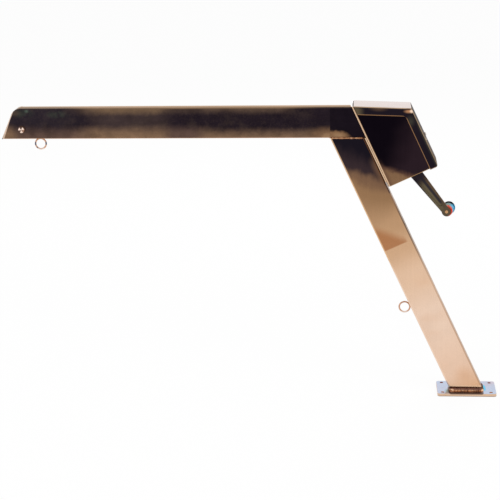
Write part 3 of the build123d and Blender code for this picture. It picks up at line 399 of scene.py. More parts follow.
armLooks = {
    # A painted dark reflection: the arm's colour where nothing else is laid
    "plain": (35, 27, 34),
    "sways": (
        {"amount": 0.016, "scale": 13.0},
        {"amount": 0.010, "scale": 60.0, "shift": (1, 2, 3)},
        {"amount": 0.008, "scale": 160.0},
    ),
    "goldSway": {"amount": 0.016, "scale": 55.0, "shift": (4, 0, 1)},
    # Painted reflections along the arm, in four lengths: nose, warm, dark and a middling one, and a band
    # along the top of the sides
    "masks": {
        "warm": [("x", -1.22, -0.985, 0.10)],
        "dark": [("x", -0.985, -0.865, 0.06)],
        "nose": [("x", -1.20, -1.32)],
        "before": [("x", -0.4505, -0.4545)],
        "over": [("x", -0.4545, -0.4505)],
        "head": [("swaying", 0.942, 0.974)],
        "lifted": [("x", -0.90, -0.80)],
        "green": [{"scale": 40.0, "low": 0.3, "high": 0.6}],
        "aside": [("sideways", 0.8, 0.95)],
        "mottled": [("x", -0.40, -0.55), "aside"],
        "top": [("faceZ", 0.35, 0.75)],
        "topRear": [("x", -0.62, -0.46)],
        "topMiddle": [("y", -0.022, -0.002), ("nose", 1.8, 0.0)],
        "topFar": [("y", -0.002, 0.022)],
    },
    "run": {
        "warm": ((62, 50, 50), "warm"),
        "nose": ((41, 34, 41), "nose"),
        "elbow": ((25, 19, 26), "over"),
        "dimHead": ((94, 75, 62, 0.95), "head", ("x", -0.55, -0.62), ("x", -1.33, -1.20)),
        "warmHead": ((117, 93, 71), "head", "warm"),
        "darkHead": ((35, 27, 34, 0.65), "head", "dark"),
    },
    # A lighter band painted along the lower part of the sides, a painted reflection, dimmer over the nose and
    # the dark length
    "foot": {"plain": (130, 102, 79), "dim": (97, 75, 66), "lift": 0.011, "edge": (0.921, 0.876)},
    # Painted reflections: green near the nose, gold low down before the elbow, and a ragged patch of it over
    # the joint
    "reflectionPatches": {
        "greenAhead": ((60, 65, 58, 0.8), ("x", "z", (-1.452, 0.956), (0.050, 0.024)), "green"),
        "brightGreen": ((82, 96, 84, 0.8), ("x", "z", (-1.438, 0.962), (0.010, 0.009))),
        "palePatch": ((92, 76, 64, 0.7), ("x", "z", (-1.480, 0.957), (0.030, 0.018))),
        "greenBehind": ((60, 65, 58, 0.8), ("x", "z", (-1.338, 0.951), (0.052, 0.017)), "green"),
        "dimBefore": ((137, 103, 74, 0.5), ("x", "ragged", (-0.4525, 0.870), (0.090, 0.048), 0.6), "before"),
        "goldBefore": (
            (168, 134, 100, 0.45),
            ("x", "ragged", (-0.4525, 0.872), (0.034, 0.020), 0.5),
            "before",
        ),
        "dimOver": ((137, 103, 74), ("x", "ragged", (-0.434, 0.876), (0.054, 0.022), 0.45), "over"),
        "goldOver": ((168, 134, 100, 0.5), ("x", "ragged", (-0.424, 0.879), (0.026, 0.012), 0.8), "over"),
    },
    # Painted reflection on the top face, with a light far edge
    "top": {"near": (122, 98, 77), "dark": (56, 47, 48), "middle": (178, 149, 121), "far": (246, 228, 212)},
    # Slanted edge of the nose, where a painted highlight runs: its lean, and its width at the foot and higher
    # up
    "noseEdge": {"lean": radians(24.0), "top": 0.93, "wide": 0.0062, "narrow": 0.0020},
    # Painted light: a glow low on the nose's sides, light undersides, a highlight along the nose's slanted
    # edge and a bluish reflection at its tip; then mottles of random tone along the sides, short of the elbow
    "ends": {
        "glow": ((136, 106, 80, 0.9), ("x", "ragged", (-1.510, 0.878), (0.060, 0.052)), "aside"),
        "under": ((206, 166, 136, 0.9), ("faceZ", -0.45, -0.8)),
        "noseEdge": ((236, 208, 186, 0.85), ("noseEdge", 1.3, 0.7)),
        "tip": ((66, 72, 92, 0.9), ("x", "z", (-1.5235, 0.8715), (0.005, 0.005))),
        "paleMottle": ((92, 76, 64, 0.16), "mottled", {"scale": 30.0, "low": 0.46, "high": 0.76}),
        "darkMottle": (
            (20, 15, 22, 0.30),
            "mottled",
            {"scale": 24.0, "low": 0.48, "high": 0.76, "shift": (3, 1, 2)},
        ),
        "fineMottle": ((92, 76, 64, 0.10), "mottled", {"scale": 260.0, "low": 0.46, "high": 0.70}),
    },
    "drift": {"scale": 90.0, "stretch": (0.5, 1, 1)},
    "driftShare": 0.09,
    "polish": {"stretch": (2.0, 260.0, 260.0), "smears": 0.12},
}


def armSteel():
    steel = Finish("armSteel", armLooks["plain"], edge="warm")
    fields = steel.fields
    fields["swaying"] = fields["z"]
    for sway in armLooks["sways"]:
        fields["swaying"] = steel.ragged(fields["swaying"], **sway)
    fields["ragged"] = steel.ragged(fields["z"], **armLooks["goldSway"])
    steel.keep(armLooks["masks"])
    steel.layAll(armLooks["run"])
    foot, top, edge = (armLooks[part] for part in ("foot", "top", "noseEdge"))
    lift = steel.calc("MULTIPLY", fields["lifted"], foot["lift"])
    dim = steel.either(fields["nose"], fields["dark"])
    footColour = steel.mix(tint(foot["plain"]), tint(foot["dim"]), dim)
    footMask = steel.rise(steel.calc("ADD", fields["swaying"], lift), *foot["edge"])
    steel.lay(footColour, footMask, fields["before"])
    steel.layAll(armLooks["reflectionPatches"])
    # Top: painted reflection, light along its far edge, darker along the near one
    darkens = steel.either(fields["topRear"], fields["nose"])
    topColour = steel.mix(tint(top["near"]), tint(top["dark"]), darkens)
    topColour = steel.mix(topColour, tint(top["middle"]), fields["topMiddle"])
    topColour = steel.mix(topColour, tint(top["far"]), fields["topFar"])
    steel.lay(topColour, fields["top"])
    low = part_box("arm_tube")[0].z
    start = (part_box("nose_plate")[0].x, 0, low)
    inside = steel.along((cos(edge["lean"]), 0, -sin(edge["lean"])), start)
    width = steel.scaled(fields["z"], low, edge["top"], edge["wide"], edge["narrow"])
    fields["noseEdge"] = steel.calc("DIVIDE", inside, width)
    steel.layAll(armLooks["ends"])
    steel.shade(steel.noise(**armLooks["drift"]), armLooks["driftShare"])
    polished(steel, **armLooks["polish"])


postLooks = {
    # Painted reflections by height up the slope, from the foot to the elbow: light low down, dark high up
    "run": (
        (0.00, (216, 168, 128)),
        (0.10, (229, 195, 170)),
        (0.30, (233, 204, 182)),
        (0.46, (225, 190, 161)),
        (0.57, (205, 166, 131)),
        (0.64, (188, 149, 113)),
        (0.76, (149, 114, 82)),
        (0.815, (122, 92, 70)),
        (0.855, (54, 42, 45)),
        (0.94, (26, 22, 30)),
    ),
    "tilt": 0.85,
    "wedgeSlope": 0.94,
    "streaks": {"scale": 1.0, "detail": 5.0, "stretch": (28.0, 28.0, 11.0), "shift": (2.0, 0.0, 1.0)},
    "shake": 0.09,
    "masks": {
        "tilted": [("up", 0.66, 0.80)],
        "shaken": [("up", 0.74, 0.82)],
        "warm": [{"scale": 5.0, "low": 0.50, "high": 0.75, "stretch": (1, 1, 1.6)}],
        "front": [("depth", -0.0945, -0.0975)],
        "rear": [("depth", -0.0050, -0.0020)],
    },
    # Painted reflections: an orange wedge with a sharp foot, whose head fades away to the front, warm patches
    # and a glow high at the rear; then a painted highlight down the front corner, orange at its foot, and a
    # dark rear one with painted shade, darkest under the pad; then a painted highlight line low down, and a
    # dark band below it over the weld
    "coats": {
        "orange": (
            (168, 112, 72, 0.85),
            ("up", 0.573, 0.578),
            ("head", 0.590, 0.545),
            ("depth", -0.012, -0.022),
        ),
        "warmCloud": ((216, 168, 130, 0.35), "warm", ("up", 0.50, 0.40)),
        "warmSpot": ((216, 168, 130, 0.5), ("depth", "up", (-0.035, 0.075), (0.050, 0.050))),
        "glow": ((118, 87, 65, 0.7), ("depth", -0.026, -0.002), ("up", 0.775, 0.865, 0.05)),
        "line": ((232, 192, 150, 0.85), "front", ("up", 0.47, 0.56)),
        "lowLine": ((244, 216, 194, 0.8), "front", ("up", 0.56, 0.47)),
        "lowEdge": ((178, 140, 112, 0.7), "rear", ("up", 0.80, 0.20)),
        "edge": ((104, 82, 70, 0.9), "rear", ("up", 0.40, 0.62)),
        "highEdge": ((150, 114, 88, 0.9), "rear", ("up", 0.66, 0.72)),
        "shadeUnderPad": ((64, 42, 44, 0.9), "rear", ("overPad", -0.036, 0.001, 0.008)),
        "corner": ((196, 112, 62, 0.8), ("depth", -0.086, -0.099), ("up", 0.045, 0.015)),
        "highlight": ((240, 206, 172, 0.6), ("overPlate", 0.0120, 0.0165, 0.002)),
        "foot": ((84, 58, 54, 0.95), ("overPlate", 0.0120, 0.0100)),
    },
    "polish": {"stretch": (260.0, 260.0, 2.0), "lines": 0.02, "smears": 0.03},
}


def postSteel():
    run = postLooks["run"]
    steel = Finish("postSteel", run[0][1], edge="warm")
    fields = steel.fields
    up, depth = fields["up"], fields["depth"]
    fields["overPad"] = steel.along((0, 0, 1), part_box("mounting_pad")[0])
    fields["head"] = steel.calc("ADD", up, steel.calc("MULTIPLY", depth, postLooks["wedgeSlope"]))
    steel.keep(postLooks["masks"])
    # The run of colours, its upper part tilted across the post and shaken into streaks
    middle = steel.calc("ADD", depth, postDepth / 2)
    tilt = steel.both(steel.calc("MULTIPLY", middle, postLooks["tilt"]), fields["tilted"])
    streaks = steel.sway(steel.noise(**postLooks["streaks"]), postLooks["shake"])
    shake = steel.both(streaks, fields["shaken"])
    steel.colour = steel.gradient(steel.calc("ADD", steel.calc("ADD", up, tilt), shake), run)
    steel.layAll(postLooks["coats"])
    polished(steel, **postLooks["polish"])


boxLooks = {
    "plain": (14, 9, 16),
    "reachSway": {"amount": 0.14, "scale": 9.0},
    "cornerSway": {"amount": 0.022, "scale": 60.0},
    "cornerSlope": 0.88,
    # The box's colours are painted reflections, dark over most of it; the corner band and the thin line at
    # its foot are painted highlights, and so are the folded front edges, laid last
    "coats": {
        "purple": ((41, 29, 35), ("reach", -0.86, -0.70)),
        "cornerHighlightHalo": ((96, 68, 55, 0.8), ("corner", 0.872, 0.846)),
        "corner": ((128, 97, 71), ("corner", 0.856, 0.838), ("depth", 0.110, 0.060)),
        "front": ((96, 68, 55, 0.7), ("up", 0.88, 0.82), ("depth", 0.028, 0.010)),
        "foot": ((176, 140, 96, 0.9), ("up", 0.7755, 0.7735)),
        "edge": ((160, 122, 88, 0.8), ("sideways", 0.9995, 0.985)),
        "bend": ((216, 184, 152), ("sideways", 0.985, 0.93)),
    },
    "polish": {"stretch": (130.0, 130.0, 4.0)},
}


def boxSteel():
    steel = Finish("boxSteel", boxLooks["plain"], edge="white")
    up, depth = steel.fields["up"], steel.fields["depth"]
    slope = steel.calc("ADD", up, steel.calc("MULTIPLY", depth, boxLooks["cornerSlope"]))
    steel.fields["reach"] = steel.ragged(steel.calc("SUBTRACT", depth, up), **boxLooks["reachSway"])
    steel.fields["corner"] = steel.ragged(slope, **boxLooks["cornerSway"])
    steel.layAll(boxLooks["coats"])
    polished(steel, **boxLooks["polish"])


coverLooks = {
    "plain": (31, 25, 33),
    "fall": radians(2.2),
    "rear": 0.1777,
    "low": 0.7697,
    "skirt": 0.0275,
    "innerRound": 0.009,
    "masks": {"folded": [("sideways", 0.995, 0.93)]},
    # Painted reflections: olive left end, brown middle and a green patch on the band, greenish down the rear
    # edge. Then
    # painted highlights in gold: along the cut inner edge, at the foot and on the folds. Last, a painted
    # highlight on the ground corner between them
    "coats": {
        "leftEnd": ((104, 92, 70, 0.8), ("x", -0.338, -0.366), ("below", 0.0, 0.01)),
        "middle": ((92, 70, 54, 0.8), ("x", "below", (-0.297, 0.004), (0.040, 0.014))),
        "green": ((64, 62, 54, 0.8), ("x", "z", (-0.196, 0.930), (0.020, 0.026))),
        "rearEdge": ((64, 62, 54, 0.7), ("inward", 0.010, 0.001), ("up", 0.95, 0.90)),
        "cut": ((150, 112, 78, 0.95), ("fromCut", 0.0026, 0.0014)),
        "foot": ((150, 118, 96, 0.9), ("overFoot", 0.003, 0.001)),
        "rearFold": ((120, 112, 92, 0.9), "folded", ("faceRear", 0.1, 0.3)),
        "topFold": ((196, 166, 134, 0.95), "folded", ("faceZ", 0.1, 0.3)),
        "foldLine": ((196, 166, 134, 0.7), ("below", 0.0045, 0.0020), ("inward", 0.01, 0.02)),
        "orange": ((206, 150, 108, 0.9), ("x", "z", (-0.2005, 0.9615), (0.022, 0.0085))),
        "bright": ((252, 222, 196), ("x", "z", (-0.1925, 0.9620), (0.0090, 0.0080), 0.8)),
    },
    "polish": {"stretch": (4.0, 200.0, 200.0)},
}


def coverSteel():
    steel = Finish("coverSteel", coverLooks["plain"])
    fields = steel.fields
    low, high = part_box("housing_cover")
    fall, innerRound = coverLooks["fall"], coverLooks["innerRound"]
    overTop = steel.along((sin(fall), 0, cos(fall)), (low.x, 0, high.z))
    fields["below"] = steel.calc("MULTIPLY", overTop, -1.0)
    fields["inward"] = steel.calc("SUBTRACT", coverLooks["rear"], fields["depth"])
    fields["overFoot"] = steel.calc("SUBTRACT", fields["up"], coverLooks["low"])
    fields["faceRear"] = steel.dot(steel.normal, slopeAxes["depth"])
    # The cut edge runs a skirt's width inside the folds, round a corner
    reach = coverLooks["skirt"] + innerRound
    fromTop, fromRear = (
        steel.either(steel.calc("SUBTRACT", reach, fields[name]), 0.0) for name in ("below", "inward")
    )
    fields["fromCut"] = steel.calc("SUBTRACT", steel.away(fromTop, fromRear), innerRound)
    steel.keep(coverLooks["masks"])
    steel.layAll(coverLooks["coats"])
    polished(steel, **coverLooks["polish"])


# The wide back of the cover has little shine of its own; its colours are painted reflections, darkest high up
# and lighter at its sides
coverRearLooks = {
    "plain": (74, 63, 56),
    "metallic": 0.35,
    "shine": 0.0,
    "sway": {"amount": 0.05, "scale": 14.0},
    "coats": {
        "foot": ((92, 70, 54, 0.8), ("swaying", 0.87, 0.80)),
        "head": ((31, 25, 33, 0.8), ("swaying", 0.88, 0.94)),
        "sides": ((104, 92, 70, 0.6), ("off", 0.036, 0.052)),
    },
    "polish": {"stretch": (200.0, 200.0, 4.0)},
}


def coverRearSteel():
    steel = Finish("coverRearSteel", coverRearLooks["plain"], metallic=coverRearLooks["metallic"])
    steel.fields["swaying"] = steel.ragged(steel.fields["up"], **coverRearLooks["sway"])
    steel.fields["off"] = steel.size(steel.fields["y"])
    steel.layAll(coverRearLooks["coats"])
    steel.shader.inputs["Specular IOR Level"].default_value = coverRearLooks["shine"]
    polished(steel, **coverRearLooks["polish"])


# The cover's top and left faces: their light colour is a painted reflection of the bright room above, with
# faint streaks
coverTopLooks = {
    "plain": (224, 213, 210),
    "coats": {
        "streak": (
            (210, 196, 191, 0.5),
            {"scale": 1.0, "low": 0.42, "high": 0.6, "stretch": (6.0, 300.0, 6.0)},
        ),
    },
    "polish": {"stretch": (4.0, 200.0, 200.0)},
}


def coverTopSteel():
    steel = Finish("coverTopSteel", coverTopLooks["plain"], edge="white")
    steel.layAll(coverTopLooks["coats"])
    polished(steel, **coverTopLooks["polish"])


# Inner and cut faces of the folded box: unpolished sheet, matt and light, whose topmost edge, beside the
# cover, is made to glow by emission, a painted highlight
insideLooks = {
    "plain": (238, 234, 230),
    "metallic": 0.25,
    "masks": {"shine": [("z", 0.9715, 0.9735), ("x", -0.374, -0.377)]},
    "coats": {"cloud": ((214, 208, 202), {"scale": 28.0, "low": 0.42, "high": 0.66})},
    "glow": 0.8,
    "polish": {"stretch": (60.0, 60.0, 60.0), "low": 0.45, "high": 0.60, "lines": 0.02, "smears": 0.03},
}


def insideSheet():
    steel = Finish("insideSheet", insideLooks["plain"], metallic=insideLooks["metallic"])
    steel.keep(insideLooks["masks"])
    steel.layAll(insideLooks["coats"])
    # Painted highlight: emission along the box's topmost edge
    shine = steel.mix(black, white, steel.fields["shine"])
    steel.tree.links.new(shine, steel.shader.inputs["Emission Color"])
    steel.shader.inputs["Emission Strength"].default_value = insideLooks["glow"]
    polished(steel, **insideLooks["polish"])


plateLooks = {
    "plain": (216, 184, 156),
    "masks": {
        "top": [("faceZ", 0.5, 0.9)],
        "mirrored": [("x", -0.057, 0.053, 0.004), ("y", -0.044, -0.028, 0.006)],
        "wall": [("upright", 0.5, 0.3), ("offY", 0.055, 0.052)],
    },
    # Painted reflections: peach sides and tones of the top; the post and its bead mirrored in front of the
    # weld; the dark rounded front edge; bluish patches beside the ends of the bead; walls of the bolt holes;
    # darker along the lowest edge
    "coats": {
        "blue": ((192, 200, 222), "top"),
        "pink": ((202, 195, 210), "top", ("y", -0.02, 0.05), ("x", 0.0, 0.07)),
        "light": ((186, 202, 226, 0.6), "top", {"scale": 16.0, "low": 0.42, "high": 0.62}),
        "mirror": ((66, 42, 44, 0.96), "top", ("x", -0.059, 0.055, 0.004), ("y", -0.026, -0.030)),
        "bead": ((186, 142, 108, 0.9), "top", "mirrored", {"scale": 90.0, "low": 0.36, "high": 0.52}),
        "rounded": (
            (66, 42, 44, 0.75),
            ("x", -0.056, 0.052, 0.006),
            ("y", -0.058, -0.0592),
            ("z", 0.0068, 0.0076),
        ),
        "cyan": ((92, 198, 234), "top", ("x", "y", (0.0595, -0.004), (0.0065, 0.034), 0.35)),
        "pale": ((158, 196, 208, 0.8), "top", ("x", "y", (-0.066, -0.034), (0.009, 0.024), 0.6)),
        "farHole": ((196, 118, 86), "wall", ("y", 0.0, 0.01)),
        "nearHole": ((226, 182, 142), "wall", ("y", 0.0, -0.01), ("offX", 0.094, 0.091)),
        "under": ((128, 92, 70), ("z", 0.0030, 0.0010)),
    },
    "polish": {"stretch": (60.0, 60.0, 60.0), "low": 0.14, "high": 0.30, "lines": 0.03, "smears": 0.05},
}


def plateSteel():
    steel = Finish("plateSteel", plateLooks["plain"], edge="white")
    for name, field in (("upright", "faceZ"), ("offX", "x"), ("offY", "y")):
        steel.fields[name] = steel.size(steel.fields[field])
    steel.keep(plateLooks["masks"])
    steel.layAll(plateLooks["coats"])
    polished(steel, **plateLooks["polish"])


weldLooks = {
    "plain": (188, 140, 102),
    "masks": {"base": [("z", 0.030, 0.020)], "front": [("y", -0.022, -0.028)]},
    # Painted on the bead: brown patches and golden highlights on its lumps, painted shade over its upper part
    # against the post, and darker at its right rear
    "coats": {
        "brown": ((120, 84, 66), {"scale": 55.0, "low": 0.50, "high": 0.64, "stretch": (1.6, 1, 0.4)}),
        "light": (
            (236, 190, 150, 0.9),
            {"scale": 85.0, "low": 0.52, "high": 0.66, "stretch": (1.5, 1, 0.4), "shift": (1, 2, 3)},
        ),
        "dark": ((104, 74, 70, 0.9), "base", ("overPlate", 0.0028, 0.0046)),
        "rear": ((84, 58, 50, 0.95), ("x", 0.052, 0.055), ("y", -0.032, -0.027), "base"),
    },
    # Painted highlights, bright gold, where the bead turns round the post's corners
    "ends": (-0.048, 0.055),
    "gold": {
        "halo": ((214, 146, 100), ("fromEnd", "overPlate", (0.0, 0.0022), (0.0105, 0.0055), 0.7), "front"),
        "bright": ((255, 216, 180), ("fromEnd", "overPlate", (0.0, 0.0026), (0.0085, 0.0044), 0.7), "front"),
    },
    "last": {
        "blue": ((86, 92, 116, 0.4), {"scale": 50.0, "low": 0.64, "high": 0.74, "shift": (5, 1, 2)}),
        "elbow": ((150, 106, 76, 0.6), ("z", 0.5, 0.6)),
    },
    "rough": (0.18, 0.40),
    "haze": {"scale": 120.0},
    "pits": {"scale": 400.0, "detail": 4.0},
    "pitDepth": 3e-5,
}


def weldSteel():
    steel = Finish("weldSteel", weldLooks["plain"], edge="warm")
    steel.keep(weldLooks["masks"])
    steel.layAll(weldLooks["coats"])
    for end in weldLooks["ends"]:
        steel.fields["fromEnd"] = steel.calc("SUBTRACT", steel.fields["x"], end)
        steel.layAll(weldLooks["gold"])
    steel.layAll(weldLooks["last"])
    steel.rough(*weldLooks["rough"], steel.noise(**weldLooks["haze"]))
    steel.relief(steel.noise(**weldLooks["pits"]), weldLooks["pitDepth"])
    steel.done()


# Machined or pressed steels: two tones in soft clouds, with tool lines and their lowest and highest roughness
plainLooks = {
    "boltSteel": {"tones": ((226, 206, 192), (150, 120, 104)), "rough": (0.16, 0.30)},
    "platedSteel": {"tones": ((170, 168, 160), (142, 138, 128)), "rough": (0.28, 0.45)},
    "gearSteel": {"tones": ((120, 118, 116), (88, 84, 82)), "rough": (0.30, 0.50)},
    "bronze": {"tones": ((178, 132, 72), (150, 104, 56)), "rough": (0.25, 0.42)},
    "washerSteel": {"tones": ((98, 74, 62), (70, 54, 48)), "rough": (0.20, 0.34)},
    "screwSteel": {"tones": ((186, 176, 166), (158, 148, 138)), "rough": (0.16, 0.30), "edge": "white"},
    "pinSteel": {"tones": ((214, 172, 128), (186, 142, 100)), "rough": (0.20, 0.34)},
}
machined = {"cloud": {"scale": 30.0, "low": 0.42, "high": 0.66}, "lines": (60.0, 60.0, 60.0)}


def plainSteel(name, tones, rough, edge="dark"):
    steel = Finish(name, tones[0], edge=edge)
    steel.layAll({"cloud": (tones[1], machined["cloud"])})
    polished(steel, machined["lines"], *rough)


# Ring eyes: middle, the way they stand out, the way their welds run, finish, bead's name, and how
# strongly the painted reflection of dark ground shows on the wire
eyes = {
    "arm_eye": {
        "middle": (-1.4015, 0.0, 0.850),
        "outward": (0, 0, -1),
        "alongside": (1, 0, 0),
        "finish": "armRingSteel",
        "bead": "armEyeBead",
        "ground": 1.0,
    },
    "post_eye": {
        "middle": (-0.208212, 0.0, 0.293728),
        "outward": tuple(-part for part in slopeAxes["depth"]),
        "alongside": slopeAxes["height"],
        "finish": "postRingSteel",
        "bead": "postEyeBead",
        "ground": 0.12,
    },
}
# The wire has a painted white highlight at its foot and is painted darker at its head, with painted
# reflections of dark ground at its two sides and low on the left
ringLooks = {
    "plain": (212, 166, 136),
    "coats": {
        "foot": ((238, 224, 214, 0.7), ("height", -0.012, -0.0165)),
        "head": ((150, 108, 84, 0.5), ("height", 0.008, 0.016)),
    },
    "ground": (74, 80, 100),
    "spots": (
        (1.0, ("across", "height", (0.0185, 0.0015), (0.006, 0.008), 0.7)),
        (1.0, ("across", "height", (-0.0185, 0.0005), (0.006, 0.010), 0.7)),
        (0.7, ("across", "height", (-0.0125, -0.0125), (0.005, 0.005), 0.8)),
    ),
    "polish": {"stretch": (120.0, 120.0, 120.0)},
}


def ringSteel(eye):
    steel = Finish(eye["finish"], ringLooks["plain"], edge="warm")
    steel.fields["across"] = steel.along((1, 0, 0), eye["middle"])
    steel.fields["height"] = steel.along((0, 0, 1), eye["middle"])
    steel.layAll(ringLooks["coats"])
    for share, spot in ringLooks["spots"]:
        steel.layAll({"ground": ((*ringLooks["ground"], share * eye["ground"]), spot)})
    polished(steel, **ringLooks["polish"])


# The pad's dark face and light side are painted reflections, with painted shade on the side where it meets
# the post
padLooks = {
    "plain": (60, 46, 52),
    "masks": {"side": [("sideways", 0.5, 0.8)]},
    "coats": {
        "side": ((226, 192, 158), "side"),
        "shade": ((70, 50, 47, 0.9), "side", ("depth", 0.0022, 0.0006)),
    },
    "polish": {"stretch": (120.0, 120.0, 4.0)},
}


def padSteel():
    steel = Finish("padSteel", padLooks["plain"], edge="warm")
    steel.keep(padLooks["masks"])
    steel.layAll(padLooks["coats"])
    polished(steel, **padLooks["polish"])


# Painted reflections on the head: three bright patches with a dark Y between them, darker round the head, and
# a tan spot
noseBoltLooks = {
    "plain": (250, 224, 208),
    "gapTurn": radians(95),
    "gapCount": 3.0,
    "masks": {"head": [("y", -0.027, -0.028)]},
    "coats": {
        "gaps": ((84, 58, 52, 0.95), "head", ("gaps", -0.35, 0.40)),
        "rim": ((84, 58, 52, 0.7), ("off", 0.0085, 0.0105)),
        "tan": ((176, 132, 108, 0.8), "head", ("across", "height", (0.007, -0.003), (0.008, 0.008))),
    },
    "polish": {"stretch": (90.0, 90.0, 90.0), "low": 0.2, "high": 0.35},
}


def noseBoltSteel():
    steel = Finish("noseBoltSteel", noseBoltLooks["plain"], edge="warm")
    low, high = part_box("nose_bolt")
    middle = (low + high) / 2
    across, height = steel.along((1, 0, 0), middle), steel.along((0, 0, 1), middle)
    turn = steel.calc("SUBTRACT", steel.calc("ARCTAN2", height, across), noseBoltLooks["gapTurn"])
    gaps = steel.calc("COSINE", steel.calc("MULTIPLY", turn, noseBoltLooks["gapCount"]))
    steel.fields.update(across=across, height=height, gaps=gaps, off=steel.away(across, height))
    steel.keep(noseBoltLooks["masks"])
    steel.layAll(noseBoltLooks["coats"])
    polished(steel, **noseBoltLooks["polish"])


# Measured along the crank from the drive shaft, and across it
crankLooks = {
    "plain": (84, 73, 58),
    "hubSway": {"amount": 0.02, "scale": 20.0},
    # Painted reflections: olive on the groove's left and a brown right rim; painted shade in the groove's
    # right half, along the lower left edge and near the hub by the housing
    "coats": {
        "olive": ((98, 88, 68, 0.9), ("across", -0.013, 0.001, 0.006), ("along", 0.075, 0.105)),
        "groove": ((52, 47, 50), ("across", 0.0004, 0.0088, 0.004), ("along", 0.188, 0.176)),
        "edge": ((92, 70, 54, 0.6), ("across", 0.0088, 0.0115)),
        "under": ((36, 30, 37, 0.8), ("across", -0.0125, -0.0160)),
        "hub": ((36, 30, 37, 0.95), ("swaying", 0.105, 0.070)),
        "boss": ((88, 76, 62, 0.8), ("along", 0.198, 0.206)),
    },
    "polish": {"stretch": (80.0, 80.0, 20.0), "low": 0.22, "high": 0.40},
}


def crankSteel():
    steel = Finish("crankSteel", crankLooks["plain"], edge="warm")
    start, end = crankEnds
    way = (end - start).normalized()
    along = steel.along(tuple(way), start)
    steel.fields["along"] = along
    steel.fields["across"] = steel.along((-way.z, 0.0, way.x), start)
    steel.fields["swaying"] = steel.ragged(along, **crankLooks["hubSway"])
    steel.layAll(crankLooks["coats"])
    polished(steel, **crankLooks["polish"])


# Moulded plastic: soft patches of gloss and a fine pebbled skin
pebbled = {"haze": {"scale": 60.0}, "pebbles": {"scale": 900.0, "detail": 2.0}, "depth": 2e-5}


def moulded(skin, rough, shine):
    skin.rough(*rough, skin.noise(**pebbled["haze"]))
    skin.relief(skin.noise(**pebbled["pebbles"]), pebbled["depth"])
    skin.shader.inputs["Specular IOR Level"].default_value = shine
    skin.done()


# Two close tones and faint flow lines
nylonLooks = {
    "plain": (226, 222, 212),
    "coats": {"cloud": ((208, 203, 192), {"scale": 22.0, "low": 0.40, "high": 0.70})},
    "flow": {"scale": 1.0, "detail": 2.0, "stretch": (300.0, 8.0, 300.0)},
    "flowShare": 0.05,
    "skin": {"rough": (0.35, 0.50), "shine": 0.5},
}


def nylon():
    skin = Finish("nylon", nylonLooks["plain"], metallic=0.0)
    skin.layAll(nylonLooks["coats"])
    skin.shade(skin.noise(**nylonLooks["flow"]), nylonLooks["flowShare"])
    moulded(skin, **nylonLooks["skin"])


# Blue handle with a painted grey sheen towards its upper left, whose near end is red; a painted shadow of the
# crank's boss lies low on its left, as on the washer. The black cap has a painted reflection of the handle's
# blue low on its right
bossShade = ((66, 60, 54, 0.95), ("out", 0.030, 0.020), ("right", 0.010, 0.003), ("height", 0.0, -0.004))
gripLooks = {
    "gripBlue": {
        "plain": (52, 160, 204),
        "coats": {
            "sky": ((84, 190, 226, 0.8), {"scale": 14.0, "low": 0.35, "high": 0.75}),
            "grey": ((120, 142, 132, 0.95), ("faceUpLeft", 0.10, 0.70)),
            "red": ((214, 72, 50), ("out", 0.042, 0.040)),
            "shade": bossShade,
        },
    },
    "washerRed": {
        "plain": (214, 72, 50),
        "coats": {
            "orange": ((226, 96, 66), {"scale": 60.0, "low": 0.40, "high": 0.70}),
            "shade": bossShade,
        },
    },
    "gripBlack": {
        "plain": (40, 44, 52),
        "coats": {
            "dust": ((66, 60, 54, 0.3), {"scale": 40.0, "low": 0.40, "high": 0.70}),
            "blue": ((52, 160, 204, 0.9), ("lowRight", 0.006, 0.015)),
        },
    },
}
gripSkin = {"capPlace": 0.126, "lowRight": (0.94, 0.0, -0.34), "skin": {"rough": (0.45, 0.60), "shine": 0.10}}


def gripPlastic(name, look):
    skin = Finish(name, look["plain"], metallic=0.0)
    skin.fields.update(
        out=skin.along(tuple(gripWay), gripPlace),
        right=skin.along((1, 0, 0), gripPlace),
        height=skin.along((0, 0, 1), gripPlace),
        lowRight=skin.along(gripSkin["lowRight"], gripPlace + gripWay * gripSkin["capPlace"]),
        faceUpLeft=skin.dot(skin.normal, gripUpLeft),
    )
    skin.layAll(look["coats"])
    moulded(skin, **gripSkin["skin"])


def makeFinishes():
    armSteel()
    postSteel()
    boxSteel()
    coverSteel()
    coverRearSteel()
    coverTopSteel()
    insideSheet()
    plateSteel()
    weldSteel()
    padSteel()
    noseBoltSteel()
    crankSteel()
    nylon()
    for name, look in plainLooks.items():
        plainSteel(name, **look)
    for eye in eyes.values():
        ringSteel(eye)
    for name, look in gripLooks.items():
        gripPlastic(name, look)


# Each CAD node with its finish, its record slot and how much its edges are broken, in metres
dressed = {
    "arm_tube": ("armSteel", "polished_steel", 0.0),
    "nose_plate": ("armSteel", "polished_steel", 0.0),
    "post_tube": ("postSteel", "polished_steel", 0.0),
    "base_plate": ("plateSteel", "polished_steel", 0.0008),
    "mounting_pad": ("padSteel", "polished_steel", 0.0006),
    "housing_box": ("boxSteel", "polished_steel", 0.0003),
    "housing_cover": ("coverSteel", "polished_steel", 0.0003),
    "crank_arm": ("crankSteel", "crank_steel", 0.0008),
    "nose_bolt": ("noseBoltSteel", "bolt_steel", 0.0004),
    "crank_nut": ("boltSteel", "bolt_steel", 0.0004),
    "cover_screws": ("screwSteel", "bolt_steel", 0.0),
    "grip_pin": ("pinSteel", "bolt_steel", 0.0),
}
